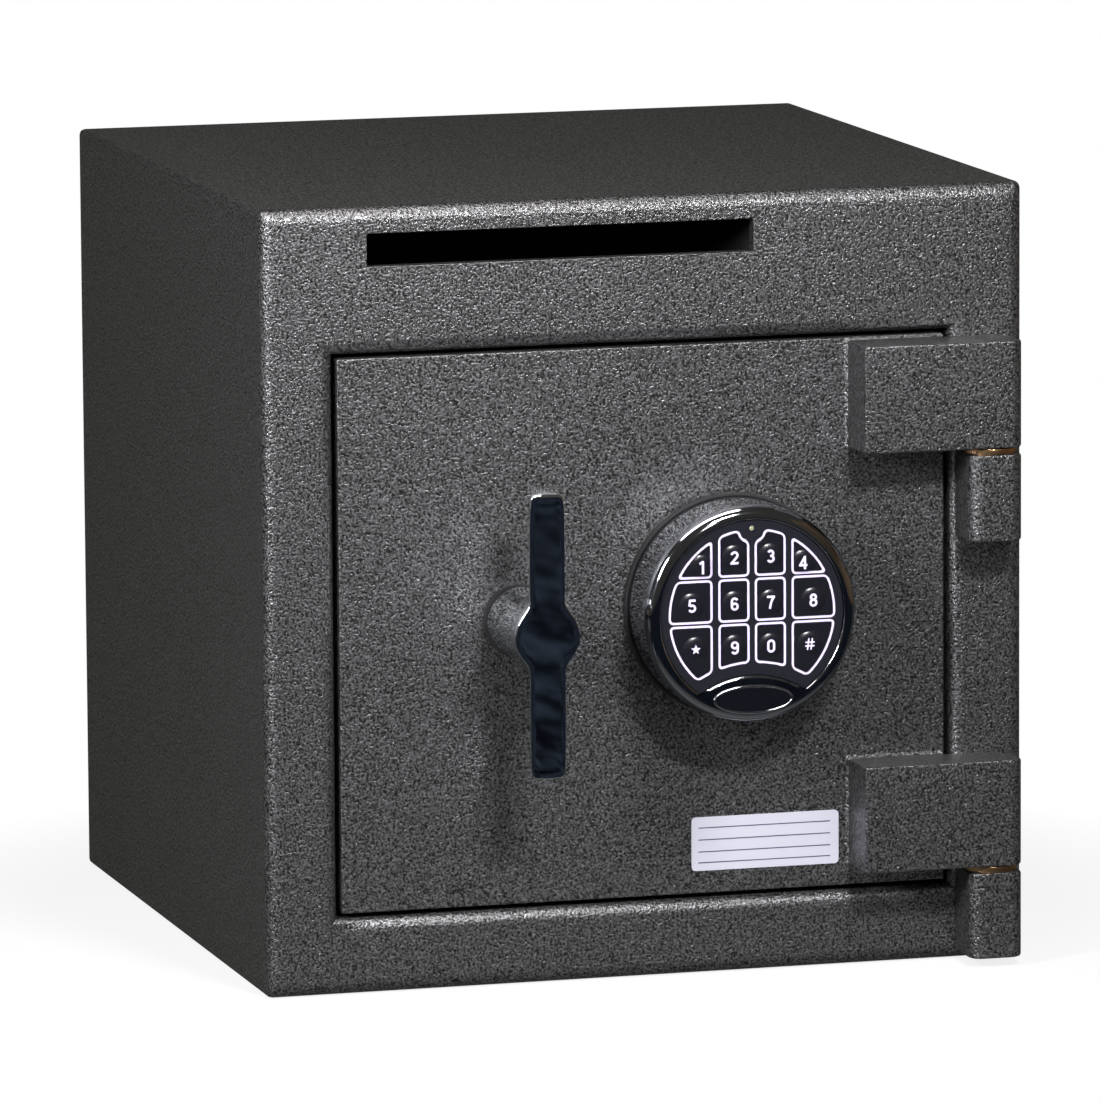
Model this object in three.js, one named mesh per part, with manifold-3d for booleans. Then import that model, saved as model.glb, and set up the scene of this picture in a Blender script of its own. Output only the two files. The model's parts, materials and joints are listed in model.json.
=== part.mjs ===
// Drop safe: a cube of folded steel plate with a deposit slot over a hinged door, three locking
// bolts turned by a T-handle, and a round keypad wired to a lock on the back of the door.
// Millimetres, +Z up, +X right, +Y towards the back. The origin is the centre of the underside.
import * as THREE from 'three';
import { mergeVertices } from 'three/addons/utils/BufferGeometryUtils.js';
import Module from 'manifold-3d';

const wasm = await Module();
wasm.setup();

// Body
const size = 355.6;
const half = size / 2;
const plate = 6.35;
const foldRadius = 6.5;
const sideEdgeRadius = 2.5;
const frameDepth = 30;
const jambDepth = 20;
const fit = 0.3;

// How far a cutter, or the hidden end of a joined piece, runs past the face that it meets
const past = 1;

// Door opening and door, seen from the front; y counts back from the front face
const opening = { x0: -145, x1: 143, z0: 35.2, z1: 289.6 };
const door = { x0: -143.2, x1: 140.4, z0: 37, z1: 287.9, y0: 1.5, y1: 14.2 };

// Deposit slot, the chute behind it and the comb that stops fishing
const slot = { x0: -129.2, x1: 50.2, z0: 329, z1: 343.8 };
const chute = { sheet: 2, margin: 2, y1: 78, drop: 30.5, step: 0.5 };
const comb = { x0: -140, x1: 61, y0: 100, sheet: 2, root: 285, tip: 273, teeth: 12 };

// Anchor hole in the floor
const anchor = { y: 237.8, hole: 6.75, shank: 6.2, shankZ0: 1.5, head: 11, headHeight: 2 };

// Hinges
const hinge = { x: 157.5, y: -12.7, bar: 25.4, pin: 6.35, bore: 6.6 };
const leafBack = { radius: 11.9, standOff: 0.8, stepIn: 1 };
const leaf = { x0: 94.6, x1: 170, height: 48.8, cornerRadius: 6 };
const knuckle = { x0: 145, x1: 170, height: 39.5 };
const hingeLevels = { upper: 195.5, lower: 4 };
const washer = { outer: 12.2, inner: 6.75, height: 2.7, gap: 0.3 };
const pinDepth = 35;
const pinRise = 40;

// Boltwork
const bolt = { radius: 9.5, x0: -138, y: 31, levels: [91, 166.3, 241] };
const guide = { x0: -132, leg: 4, y1: 58.2, foot: 24, z0: 55, z1: 270, hole: 10.1 };
const carrier = { barX0: -92, barX1: -80, x1: -14, barY0: 24, barY1: 38, y0: 31, sheet: 5 };
const carrierEnds = { bar: 11, web: 9.5 };
const carrierTravel = 20;
const stud = { x: -47, levels: [130, 202], radius: 4.2, head: 8, headHeight: 3, play: 0.4, slotHalf: 4.8 };

// Handle
const handle = { x: -60.3, z: 166.3, hubRadius: 15.5, hubEdge: 3, front: -48 };
const crossbar = { radius: 7.5, length: 129, y: -40.5 };
const handleWeb = { fillet: 5, rounding: 5 };
const handleRing = { outer: 16.5, inner: 9 };
const spindle = { radius: 6, bore: 6.3, doorHole: 6.8, y0: -24, y1: 29 };
const setScrew = { radius: 2.4, hole: 2.7, y: -18, length: 7 };
const cam = { y0: 20, y1: 28, hub: 12, eye: 8, pin: 4, pinEnd: 39, offset: 10, slotHalf: 4.7, slotPlay: 1.5 };

// Lock
const lock = { x0: -10, x1: 74, z0: 139.3, z1: 199.3, y0: 17.2, depth: 32, wall: 4, cover: 2.5 };
const lockBolt = { x0: -13, x1: 34, z0: 158.3, z1: 180.3, y0: 27.8, y1: 36.7 };
const hardPlate = { x0: -5, x1: 85, z0: 120, z1: 219 };
const cable = { radius: 2, hole: 5, caseHole: 4, y0: -4, y1: 25 };

// Hinge side bar and door cover
const deadBar = { x0: 119, x1: 138, lip: 150.5, lipY: 25, y1: 33, z0: 60, z1: 265 };
const cover = { x0: -131.5, x1: 117, z0: 50, z1: 275, y1: 60, sheet: 1.5, lap: 0.5, flange: 10 };
const coverScrew = { x: [-95, 95], inset: 5, head: 4.2, headHeight: 2.2, shank: 2.2, hole: 2.6, y0: 7 };

// Label and keypad; keypad sizes count from its own centre
const label = { x0: 20.3, x1: 90, z0: 47.3, z1: 72, corner: 2, sheet: 0.3 };
const keypad = { x: 39.3, z: 169.3, radius: 49.3, front: -33, shoulder: 6, wall: 2.5, taper: 4 };
const keypadSegments = 48;
const keypadSeat = { gasketRadius: 50, baseRadius: 44, baseY0: -1.5 };
const face = { radius: 42.6, y0: -31.8, sheet: 2, ledge: 40.5 };
const keys = { radius: 39, y0: -32, y1: -28.2, outline: 1.3, holeOutline: 1, gap: 0.8 };
const dome = { radius: 5.9, height: 0.7, flank: 0.6, flankHeight: 0.5, sunk: 1 };
const keyColumns = [1.25, 15.8, 18.5, 40];
const keyRows = [40, 16.8, -3.6, -45];
const lowerArc = { z: -71.2, keys: 49, crescent: 43.5, proud: 0.2, lap: 0.5 };
const led = { z: 38.9, radius: 1.2, proud: 0.4, clearance: 6 };
const badge = { z: -38.4, halfWidth: 18.6, halfHeight: 6.5, sheet: 1 };
const board = { radius: 38, y0: -26, sheet: 1.6 };
const battery = { width: 48.5, height: 26.5, depth: 17.5, z: -19.7, y0: -20 };
const batteryDoor = { halfWidth: 25.5, y0: -21, y1: -2 };

// Finishes
function finish(color, roughness, metalness) {
  return new THREE.MeshStandardMaterial({ color, roughness, metalness });
}
const hammeredPaint = () => finish(0x4a4a4c, 0.35, 0.3);
const zincSteel = () => finish(0xa9acad, 0.4, 0.9);
const chrome = () => finish(0xd6d9dc, 0.08, 1);
const brass = () => finish(0xc9a27a, 0.3, 1);
const castZinc = () => finish(0x8f9396, 0.5, 0.8);
const darkPlastic = () => finish(0x23242e, 0.4, 0);
const blackRubber = () => finish(0x17171a, 0.8, 0);

// Every point is moved to a fine grid, so that faces given the same size really meet
const gridLines = 2048;
const onGrid = (value) => Math.round(value * gridLines) / gridLines;

function solidOf(geometry) {
  geometry.deleteAttribute('normal');
  geometry.deleteAttribute('uv');
  const points = geometry.getAttribute('position');
  for (let i = 0; i < points.count; i += 1) {
    points.setXYZ(i, onGrid(points.getX(i)), onGrid(points.getY(i)), onGrid(points.getZ(i)));
  }
  const merged = mergeVertices(geometry, 1e-4);
  const corners = merged.getIndex().array;
  const kept = [];
  for (let i = 0; i < corners.length; i += 3) {
    const [a, b, c] = [corners[i], corners[i + 1], corners[i + 2]];
    if (a !== b && b !== c && c !== a) kept.push(a, b, c);
  }
  const vertProperties = new Float32Array(merged.getAttribute('position').array);
  const build = (order) => new wasm.Manifold(
    new wasm.Mesh({ numProp: 3, vertProperties, triVerts: new Uint32Array(order) }),
  );
  const solid = build(kept);
  return solid.volume() > 0 ? solid : build(kept.reverse());
}

function box(x0, x1, y0, y1, z0, z1) {
  const geometry = new THREE.BoxGeometry(x1 - x0, y1 - y0, z1 - z0);
  geometry.translate((x0 + x1) / 2, (y0 + y1) / 2, (z0 + z1) / 2);
  return solidOf(geometry);
}

function rod(axis, radius, from, to, [u, v], segments = 32) {
  const geometry = new THREE.CylinderGeometry(radius, radius, to - from, segments);
  const middle = (from + to) / 2;
  if (axis === 'x') geometry.rotateZ(Math.PI / 2).translate(middle, u, v);
  if (axis === 'y') geometry.translate(u, middle, v);
  if (axis === 'z') geometry.rotateX(Math.PI / 2).translate(u, v, middle);
  return solidOf(geometry);
}

function turned(profile, segments = 32) {
  const points = profile.map(([radius, y]) => new THREE.Vector2(radius, y));
  return solidOf(new THREE.LatheGeometry(points, segments));
}

function outline(points) {
  return new THREE.Shape(points.map(([x, y]) => new THREE.Vector2(x, y)));
}

function roundedRectangle(x0, x1, z0, z1, radius) {
  const shape = new THREE.Shape();
  shape.moveTo(x0 + radius, z0);
  shape.lineTo(x1 - radius, z0);
  shape.absarc(x1 - radius, z0 + radius, radius, -Math.PI / 2, 0);
  shape.lineTo(x1, z1 - radius);
  shape.absarc(x1 - radius, z1 - radius, radius, 0, Math.PI / 2);
  shape.lineTo(x0 + radius, z1);
  shape.absarc(x0 + radius, z1 - radius, radius, Math.PI / 2, Math.PI);
  shape.lineTo(x0, z0 + radius);
  shape.absarc(x0 + radius, z0 + radius, radius, Math.PI, 1.5 * Math.PI);
  return shape;
}

// A shape drawn in x and z, from y0 back to y1
function throughY(shape, y0, y1, curveSegments = 4) {
  const geometry = new THREE.ExtrudeGeometry(shape, { depth: y1 - y0, bevelEnabled: false, curveSegments });
  return solidOf(geometry.rotateX(Math.PI / 2).translate(0, y1, 0));
}

// A shape drawn in y and z, from x0 to x1
function throughX(points, x0, x1) {
  const geometry = new THREE.ExtrudeGeometry(outline(points), { depth: x1 - x0, bevelEnabled: false });
  return solidOf(geometry.rotateY(Math.PI / 2).rotateX(Math.PI / 2).translate(x0, 0, 0));
}

// A shape drawn in x and y, from z0 up to z1
function throughZ(shape, z0, z1, curveSegments = 6) {
  const geometry = new THREE.ExtrudeGeometry(shape, { depth: z1 - z0, bevelEnabled: false, curveSegments });
  return solidOf(geometry.translate(0, 0, z0));
}

// A rectangular block whose front edges are rounded inwards, or flared outwards for a cutter
function foldedBlock({ x0, x1, z0, z1 }, radius, straight, flared) {
  const sign = flared ? -1 : 1;
  const corners = [[x0, z0], [x1, z0], [x1, z1], [x0, z1]];
  const geometry = new THREE.ExtrudeGeometry(outline(corners), {
    depth: straight,
    bevelThickness: radius,
    bevelSize: sign * radius,
    bevelOffset: -sign * radius,
    bevelSegments: 5,
  });
  return solidOf(geometry.rotateX(Math.PI / 2).translate(0, straight + radius, 0));
}

function pieceOf(name, solid, material) {
  const { vertProperties, triVerts } = solid.getMesh();
  const geometry = new THREE.BufferGeometry();
  geometry.setAttribute('position', new THREE.BufferAttribute(vertProperties, 3));
  geometry.setIndex(new THREE.BufferAttribute(triVerts, 1));
  geometry.computeVertexNormals();
  const mesh = new THREE.Mesh(geometry, material);
  mesh.name = name;
  return mesh;
}

function groupAt(x, y, z, ...children) {
  const group = new THREE.Group();
  group.position.set(onGrid(x), onGrid(y), onGrid(z));
  group.add(...children);
  return group;
}

// Body: a wrap of plate behind a folded front frame, closed by the back plate
const insideWidth = half - plate;
const insideTop = size - plate;

function makeBodyShell() {
  const wrap = throughY(roundedRectangle(-half, half, 0, size, sideEdgeRadius), frameDepth, size);
  const hollow = box(-insideWidth, insideWidth, frameDepth - past, size + past, plate, insideTop);
  const anchorHole = rod('z', anchor.hole, -past, plate + past, [0, anchor.y], 24);
  return wrap.subtract(hollow).subtract(anchorHole);
}

function makeFrontFrame() {
  const outside = { x0: -half, x1: half, z0: 0, z1: size };
  const edges = throughY(roundedRectangle(-half, half, 0, size, sideEdgeRadius), 0, frameDepth);
  const block = foldedBlock(outside, foldRadius, frameDepth, false).intersect(edges);
  const hollow = box(-insideWidth, insideWidth, plate, frameDepth + past, plate, insideTop);
  const jamb = box(
    opening.x0 - plate, opening.x1 + plate, plate - past, jambDepth, opening.z0 - plate, opening.z1 + plate,
  );
  const doorway = foldedBlock(opening, foldRadius, jambDepth, true);
  const letterSlot = box(slot.x0, slot.x1, -past, plate + past, slot.z0, slot.z1);
  return block.subtract(hollow).add(jamb).subtract(doorway).subtract(letterSlot);
}

function makeBackPlate() {
  return box(-insideWidth, insideWidth, size - plate, size, plate, insideTop);
}

function makeDepositChute() {
  const top = slot.z0 - chute.step;
  const x0 = slot.x0 - chute.margin;
  const x1 = slot.x1 + chute.margin;
  const floor = [[plate, top], [plate, top - chute.sheet]];
  floor.push([chute.y1, top - chute.drop - chute.sheet], [chute.y1, top - chute.drop]);
  const cheek = [[plate, insideTop], floor[1], floor[2], [chute.y1, insideTop]];
  const left = throughX(cheek, x0 - chute.sheet, x0);
  const right = throughX(cheek, x1, x1 + chute.sheet);
  return throughX(floor, x0 - past, x1 + past).add(left).add(right);
}

function makeComb() {
  const points = [[comb.x0, insideTop], [comb.x0, comb.root]];
  const pitch = (comb.x1 - comb.x0) / comb.teeth;
  for (let i = 0; i < comb.teeth; i += 1) {
    points.push([comb.x0 + (i + 0.5) * pitch, comb.tip]);
    points.push([comb.x0 + (i + 1) * pitch, comb.root]);
  }
  points.push([comb.x1, insideTop]);
  return throughY(outline(points), comb.y0, comb.y0 + comb.sheet);
}

function makeAnchorPlug() {
  const head = rod('z', anchor.head, plate, plate + anchor.headHeight, [0, anchor.y], 24);
  return head.add(rod('z', anchor.shank, anchor.shankZ0, plate + past, [0, anchor.y], 24));
}

// Hinges: a knuckle on the frame carries the pin, and the door's leaf turns on it
function makeKnuckle(z0) {
  const r = leaf.cornerRadius;
  const shape = new THREE.Shape();
  shape.moveTo(knuckle.x0, 0);
  shape.lineTo(knuckle.x0, -hinge.bar + r);
  shape.absarc(knuckle.x0 + r, -hinge.bar + r, r, Math.PI, 1.5 * Math.PI);
  shape.lineTo(knuckle.x1 - r, -hinge.bar);
  shape.absarc(knuckle.x1 - r, -hinge.bar + r, r, -Math.PI / 2, 0);
  shape.lineTo(knuckle.x1, 0);
  const top = z0 + knuckle.height;
  const bore = rod('z', hinge.bore, top - pinDepth - fit, top + past, [hinge.x, hinge.y]);
  return throughZ(shape, z0, top).subtract(bore);
}

function makeWasher(z0) {
  const ring = rod('z', washer.outer, z0, z0 + washer.height, [hinge.x, hinge.y]);
  return ring.subtract(rod('z', washer.inner, z0 - past, z0 + washer.height + past, [hinge.x, hinge.y]));
}

function makePin(knuckleTop) {
  return rod('z', hinge.pin, knuckleTop - pinDepth, knuckleTop + pinRise, [hinge.x, hinge.y]);
}

// The leaf's far back corner is turned to the pin's centre, so that it clears the frame as it opens
function makeLeaf(z0) {
  const r = leaf.cornerRadius;
  const shape = new THREE.Shape();
  shape.moveTo(leaf.x0, door.y0);
  shape.lineTo(leaf.x0, -hinge.bar);
  shape.lineTo(leaf.x1 - r, -hinge.bar);
  shape.absarc(leaf.x1 - r, -hinge.bar + r, r, -Math.PI / 2, 0);
  shape.lineTo(leaf.x1, hinge.y);
  shape.lineTo(hinge.x + leafBack.radius, hinge.y);
  shape.absarc(hinge.x, hinge.y, leafBack.radius, 0, Math.PI / 2);
  shape.lineTo(door.x1 - leafBack.stepIn, -leafBack.standOff);
  shape.lineTo(door.x1 - leafBack.stepIn, door.y0);
  const bore = rod('z', hinge.bore, z0 - past, z0 + pinRise, [hinge.x, hinge.y]);
  return throughZ(shape, z0, z0 + leaf.height).subtract(bore);
}

// Door and what is fixed to its back
const screwLevels = [cover.z0 - coverScrew.inset, cover.z1 + coverScrew.inset];
const screwPlaces = coverScrew.x.flatMap((x) => screwLevels.map((z) => [x, z]));

function makeDoorPlate() {
  let slab = box(door.x0, door.x1, door.y0, door.y1, door.z0, door.z1);
  slab = slab.subtract(rod('y', spindle.doorHole, 0, door.y1 + past, [handle.x, handle.z]));
  slab = slab.subtract(rod('y', cable.hole, 0, door.y1 + past, [keypad.x, keypad.z], 16));
  for (const place of screwPlaces) {
    slab = slab.subtract(rod('y', coverScrew.hole, coverScrew.y0 - fit, door.y1 + past, place, 12));
  }
  return slab;
}

function makeHardPlate() {
  const slab = box(hardPlate.x0, hardPlate.x1, door.y1, lock.y0, hardPlate.z0, hardPlate.z1);
  return slab.subtract(rod('y', cable.hole, door.y1 - past, lock.y0 + past, [keypad.x, keypad.z], 16));
}

function makeDeadBar() {
  const lip = box(deadBar.x0, deadBar.lip, deadBar.lipY, deadBar.y1, deadBar.z0, deadBar.z1);
  return box(deadBar.x0, deadBar.x1, door.y1, deadBar.y1, deadBar.z0, deadBar.z1).add(lip);
}

function makeBoltGuide() {
  const legX1 = guide.x0 + guide.leg;
  const leg = box(guide.x0, legX1, door.y1, guide.y1, guide.z0, guide.z1);
  let angle = leg.add(box(guide.x0, legX1 + guide.foot, door.y1, door.y1 + guide.leg, guide.z0, guide.z1));
  for (const level of bolt.levels) {
    angle = angle.subtract(rod('x', guide.hole, guide.x0 - past, legX1 + past, [bolt.y, level]));
  }
  return angle;
}

function makeStud(level) {
  const seat = carrier.y0 + carrier.sheet + stud.play;
  const head = rod('y', stud.head, seat, seat + stud.headHeight, [stud.x, level], 24);
  return head.add(rod('y', stud.radius, door.y1, seat + past, [stud.x, level], 24));
}

function makeDoorCover() {
  const { x0, x1, z0, z1, y1, sheet, lap, flange } = cover;
  const back = box(x0, x1, y1 - sheet, y1, z0, z1);
  const side = box(x1 - sheet, x1, door.y1, y1 - lap, z0, z1);
  let tray = back.add(side);
  for (const [wallZ0, footZ0] of [[z0, z0 - flange], [z1 - sheet, z1 - sheet]]) {
    tray = tray.add(box(x0, x1, door.y1, y1 - lap, wallZ0, wallZ0 + sheet));
    tray = tray.add(box(x0, x1, door.y1, door.y1 + sheet, footZ0, footZ0 + flange + sheet));
  }
  for (const place of screwPlaces) {
    tray = tray.subtract(rod('y', coverScrew.hole, door.y1 - past, door.y1 + sheet + past, place, 12));
  }
  return tray;
}

function makeCoverScrew(place) {
  const seat = door.y1 + cover.sheet;
  const head = rod('y', coverScrew.head, seat, seat + coverScrew.headHeight, place, 16);
  return head.add(rod('y', coverScrew.shank, coverScrew.y0, seat + past, place, 12));
}

// Lock: a cast case with its cover, and a bolt that follows the carrier out
function makeLockCase() {
  const { x0, x1, z0, z1, y0, depth, wall } = lock;
  const block = box(x0, x1, y0, y0 + depth, z0, z1);
  const hollow = box(x0 + wall, x1 - wall, y0 + wall, y0 + depth + past, z0 + wall, z1 - wall);
  const boltWay = box(
    x0 - past, x0 + wall + past, lockBolt.y0 - fit, lockBolt.y1 + fit, lockBolt.z0 - fit, lockBolt.z1 + fit,
  );
  const cableWay = rod('y', cable.caseHole, y0 - past, y0 + wall + past, [keypad.x, keypad.z], 16);
  return block.subtract(hollow).subtract(boltWay).subtract(cableWay);
}

function makeLockCover() {
  const y0 = lock.y0 + lock.depth;
  return box(lock.x0, lock.x1, y0, y0 + lock.cover, lock.z0, lock.z1);
}

function makeLockBolt() {
  return box(lockBolt.x0, lockBolt.x1, lockBolt.y0, lockBolt.y1, lockBolt.z0, lockBolt.z1);
}

function makeLockCable() {
  return rod('y', cable.radius, cable.y0, cable.y1, [keypad.x, keypad.z], 12);
}

// Boltwork: the cam's pin runs in an upright slot and draws the carrier across
function makeCarrier() {
  const barZ0 = bolt.levels[0] - carrierEnds.bar;
  const barZ1 = bolt.levels[2] + carrierEnds.bar;
  const bar = box(carrier.barX0, carrier.barX1, carrier.barY0, carrier.barY1, barZ0, barZ1);
  const y1 = carrier.y0 + carrier.sheet;
  const webZ0 = stud.levels[0] - carrierEnds.web;
  const webZ1 = stud.levels[1] + carrierEnds.web;
  const web = box(carrier.barX1 - past, carrier.x1, carrier.y0, y1, webZ0, webZ1);
  const pinX = handle.x + cam.offset;
  const pinLow = handle.z + cam.offset - cam.pin - cam.slotPlay;
  const pinHigh = handle.z + Math.hypot(cam.offset, cam.offset) + cam.pin + cam.slotPlay;
  let solid = bar.add(web);
  solid = solid.subtract(box(
    pinX - cam.slotHalf, pinX + cam.slotHalf, carrier.y0 - past, y1 + past, pinLow, pinHigh,
  ));
  for (const level of stud.levels) {
    const x0 = stud.x - stud.slotHalf;
    const x1 = stud.x + carrierTravel + stud.slotHalf;
    solid = solid.subtract(box(
      x0, x1, carrier.y0 - past, y1 + past, level - stud.slotHalf, level + stud.slotHalf,
    ));
  }
  return solid;
}

function makeLockingBolt(level) {
  return rod('x', bolt.radius, bolt.x0, carrier.barX0, [bolt.y, level]);
}

// Handle parts are drawn about the handle's own axis
// The web that blends the bar into the hub: the bar's width at its ends, and the hub's in the middle
function makeHandleWeb() {
  const { fillet, rounding } = handleWeb;
  const { hubRadius, front } = handle;
  const barRadius = crossbar.radius;
  const filletX = barRadius + fillet;
  const filletZ = Math.sqrt((hubRadius + fillet) ** 2 - filletX ** 2);
  const lean = Math.atan2(filletZ, filletX);
  const end = filletZ + fillet;
  const shape = new THREE.Shape();
  shape.moveTo(barRadius, end);
  shape.lineTo(barRadius, filletZ);
  shape.absarc(filletX, filletZ, fillet, Math.PI, Math.PI + lean, false);
  shape.absarc(0, 0, hubRadius, lean, -lean, true);
  shape.absarc(filletX, -filletZ, fillet, Math.PI - lean, Math.PI, false);
  shape.lineTo(barRadius, -end);
  shape.lineTo(-barRadius, -end);
  shape.lineTo(-barRadius, -filletZ);
  shape.absarc(-filletX, -filletZ, fillet, 0, lean, false);
  shape.absarc(0, 0, hubRadius, Math.PI + lean, Math.PI - lean, true);
  shape.absarc(-filletX, filletZ, fillet, -lean, 0, false);
  shape.lineTo(-barRadius, end);
  const depth = 2 * (barRadius - rounding);
  const geometry = new THREE.ExtrudeGeometry(shape, {
    depth,
    bevelThickness: rounding,
    bevelSize: rounding,
    bevelOffset: -rounding,
    bevelSegments: 3,
    curveSegments: 5,
  });
  return solidOf(geometry.rotateX(Math.PI / 2).translate(0, front + rounding + depth, 0));
}

function makeHandle() {
  const { hubRadius, hubEdge, front } = handle;
  const hub = turned([
    [0, 0], [hubRadius, 0], [hubRadius, front + hubEdge], [hubRadius - 0.3 * hubEdge, front + 0.3 * hubEdge],
    [hubRadius - hubEdge, front], [0, front],
  ], 48);
  const bar = rod('z', crossbar.radius, -crossbar.length / 2, crossbar.length / 2, [0, crossbar.y], 32);
  const socket = rod('y', spindle.bore, spindle.y0 - past, past, [0, 0], 24);
  const screwWay = rod('z', setScrew.hole, -hubRadius - past, 0, [0, setScrew.y], 16);
  return hub.add(makeHandleWeb()).add(bar).subtract(socket).subtract(screwWay);
}

function makeHandleRing() {
  const ring = rod('y', handleRing.outer, fit, door.y0, [0, 0], 40);
  return ring.subtract(rod('y', handleRing.inner, 0, door.y0 + past, [0, 0], 24));
}

function makeSpindle() {
  return rod('y', spindle.radius, spindle.y0, spindle.y1, [0, 0], 24);
}

function makeSetScrew() {
  const tip = -spindle.radius - fit;
  return rod('z', setScrew.radius, tip - setScrew.length, tip, [0, setScrew.y], 16);
}

function makeCam() {
  const pinPlace = [cam.offset, cam.offset];
  const hub = rod('y', cam.hub, cam.y0, cam.y1, [0, 0]);
  const eye = rod('y', cam.eye, cam.y0, cam.y1, pinPlace, 24);
  const pin = rod('y', cam.pin, cam.y1 - past, cam.pinEnd, pinPlace, 16);
  return hub.add(eye).add(pin).subtract(rod('y', spindle.bore, cam.y0 - past, cam.y1 + past, [0, 0], 24));
}

// Keypad parts are drawn about the keypad's own axis
function disc(radius, y0, y1, z = 0) {
  return rod('y', radius, y0, y1, [0, z], keypadSegments);
}

function makeGasket() {
  const ring = disc(keypadSeat.gasketRadius, 0, door.y0);
  return ring.subtract(disc(keypad.radius - keypad.wall, -past, door.y0 + past));
}

function makeKeypadBase() {
  const { baseRadius, baseY0 } = keypadSeat;
  const cableWay = rod('y', cable.hole, baseY0 - past, door.y0 + past, [0, 0], 16);
  return disc(baseRadius, baseY0, door.y0).subtract(cableWay);
}

function makeKeypadHousing() {
  const { radius, front, shoulder, wall, taper } = keypad;
  const inner = radius - wall;
  const bend = [];
  for (let i = 0; i <= 6; i += 1) {
    const turn = (i / 6) * (Math.PI / 2);
    bend.push([radius - shoulder + shoulder * Math.cos(turn), front + shoulder - shoulder * Math.sin(turn)]);
  }
  const seat = face.y0 + face.sheet + fit;
  const profile = [
    [radius, 0], ...bend, [face.radius + fit, front], [face.radius + fit, seat], [face.ledge, seat],
    [face.ledge, seat + wall], [inner, seat + wall + taper], [inner, 0], [radius, 0],
  ];
  const shell = turned(profile, keypadSegments);
  const lowerSpan = disc(lowerArc.crescent, front - lowerArc.proud, seat, lowerArc.z);
  const crescentRadius = face.radius + fit + lowerArc.lap;
  const crescent = disc(crescentRadius, front - lowerArc.proud, seat).intersect(lowerSpan);
  const { halfWidth, y0, y1 } = batteryDoor;
  return shell.add(crescent).subtract(box(-halfWidth, halfWidth, y0, y1, -radius - past, -face.ledge / 2));
}

// A key's outline: a cell of the grid, cut by the round face, the lower arc and the lamp
function keyBlank(side, column, row, inset, y0, y1) {
  const x0 = keyColumns[column * 2] + inset;
  const x1 = keyColumns[column * 2 + 1] - inset;
  const z1 = keyRows[row] - inset - keys.gap / 2;
  const z0 = keyRows[row + 1] + inset + keys.gap / 2;
  const cell = side < 0 ? box(-x1, -x0, y0, y1, z0, z1) : box(x0, x1, y0, y1, z0, z1);
  const lamp = rod('y', led.clearance + inset, y0 - past, y1 + past, [0, led.z], 12);
  const round = disc(keys.radius - inset, y0 - past, y1 + past);
  const under = disc(lowerArc.keys + inset, y0 - past, y1 + past, lowerArc.z);
  return cell.intersect(round).subtract(under).subtract(lamp);
}

const keyNames = [['1', '2', '3', '4'], ['5', '6', '7', '8'], ['star', '9', '0', 'hash']];

// Where each key's dome stands: the two inner columns' rows, then the two outer columns' rows
const domePlaces = [[[8.5, 26.1], [8.5, 5.2], [8.5, -14.7]], [[23.7, 22.4], [28.4, 5.2], [26.7, -14.7]]];

function keyCells() {
  const cells = [];
  keyNames.forEach((names, row) => names.forEach((name, place) => {
    const side = place < 2 ? -1 : 1;
    const column = place === 0 || place === 3 ? 1 : 0;
    cells.push({ name, side, column, row });
  }));
  return cells;
}

function makeKey({ side, column, row }) {
  const blank = keyBlank(side, column, row, keys.outline, keys.y0, keys.y1);
  const raised = keyBlank(side, column, row, keys.outline, keys.y0 - dome.height, keys.y1);
  const { radius, height, flank, flankHeight, sunk } = dome;
  const profile = [[0, sunk], [radius, sunk], [radius, 0], [radius * flank, -flankHeight], [0, -height]];
  const cap = new THREE.LatheGeometry(profile.map(([r, y]) => new THREE.Vector2(r, y)), 16);
  const [x, z] = domePlaces[column][row];
  return blank.add(solidOf(cap.translate(side * x, keys.y0, z)).intersect(raised));
}

function makeFaceplate() {
  const y1 = face.y0 + face.sheet;
  let sheet = disc(face.radius, face.y0, y1);
  sheet = sheet.subtract(disc(lowerArc.crescent + fit, face.y0 - past, y1 + past, lowerArc.z));
  sheet = sheet.subtract(rod('y', led.radius + fit, face.y0 - past, y1 + past, [0, led.z], 16));
  for (const { side, column, row } of keyCells()) {
    sheet = sheet.subtract(keyBlank(side, column, row, keys.holeOutline, face.y0 - past, y1 + past));
  }
  return sheet;
}

function makeBadge() {
  const shape = new THREE.Shape();
  shape.absellipse(0, badge.z, badge.halfWidth, badge.halfHeight, 0, 2 * Math.PI);
  const back = keypad.front - lowerArc.proud;
  return throughY(shape, back - badge.sheet, back, 20);
}

function makeLed() {
  return rod('y', led.radius, face.y0 - led.proud, face.y0 + face.sheet, [0, led.z], 16);
}

function makeBoard() {
  return disc(board.radius, board.y0, board.y0 + board.sheet);
}

function makeBattery() {
  const { width, height, depth, z, y0 } = battery;
  return box(-width / 2, width / 2, y0, y0 + depth, z - height / 2, z + height / 2);
}

function makeBatteryDoor() {
  const { halfWidth, y0, y1 } = batteryDoor;
  const ring = disc(keypad.radius, y0 + fit, y1 - fit).subtract(disc(keypad.radius - keypad.wall, y0, y1));
  const span = box(
    -halfWidth + fit, halfWidth - fit, y0, y1, -keypad.radius - past, -face.ledge / 2,
  );
  return ring.intersect(span);
}

function makeLabel() {
  const shape = roundedRectangle(label.x0, label.x1, label.z0, label.z1, label.corner);
  return throughY(shape, door.y0 - label.sheet, door.y0);
}

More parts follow.
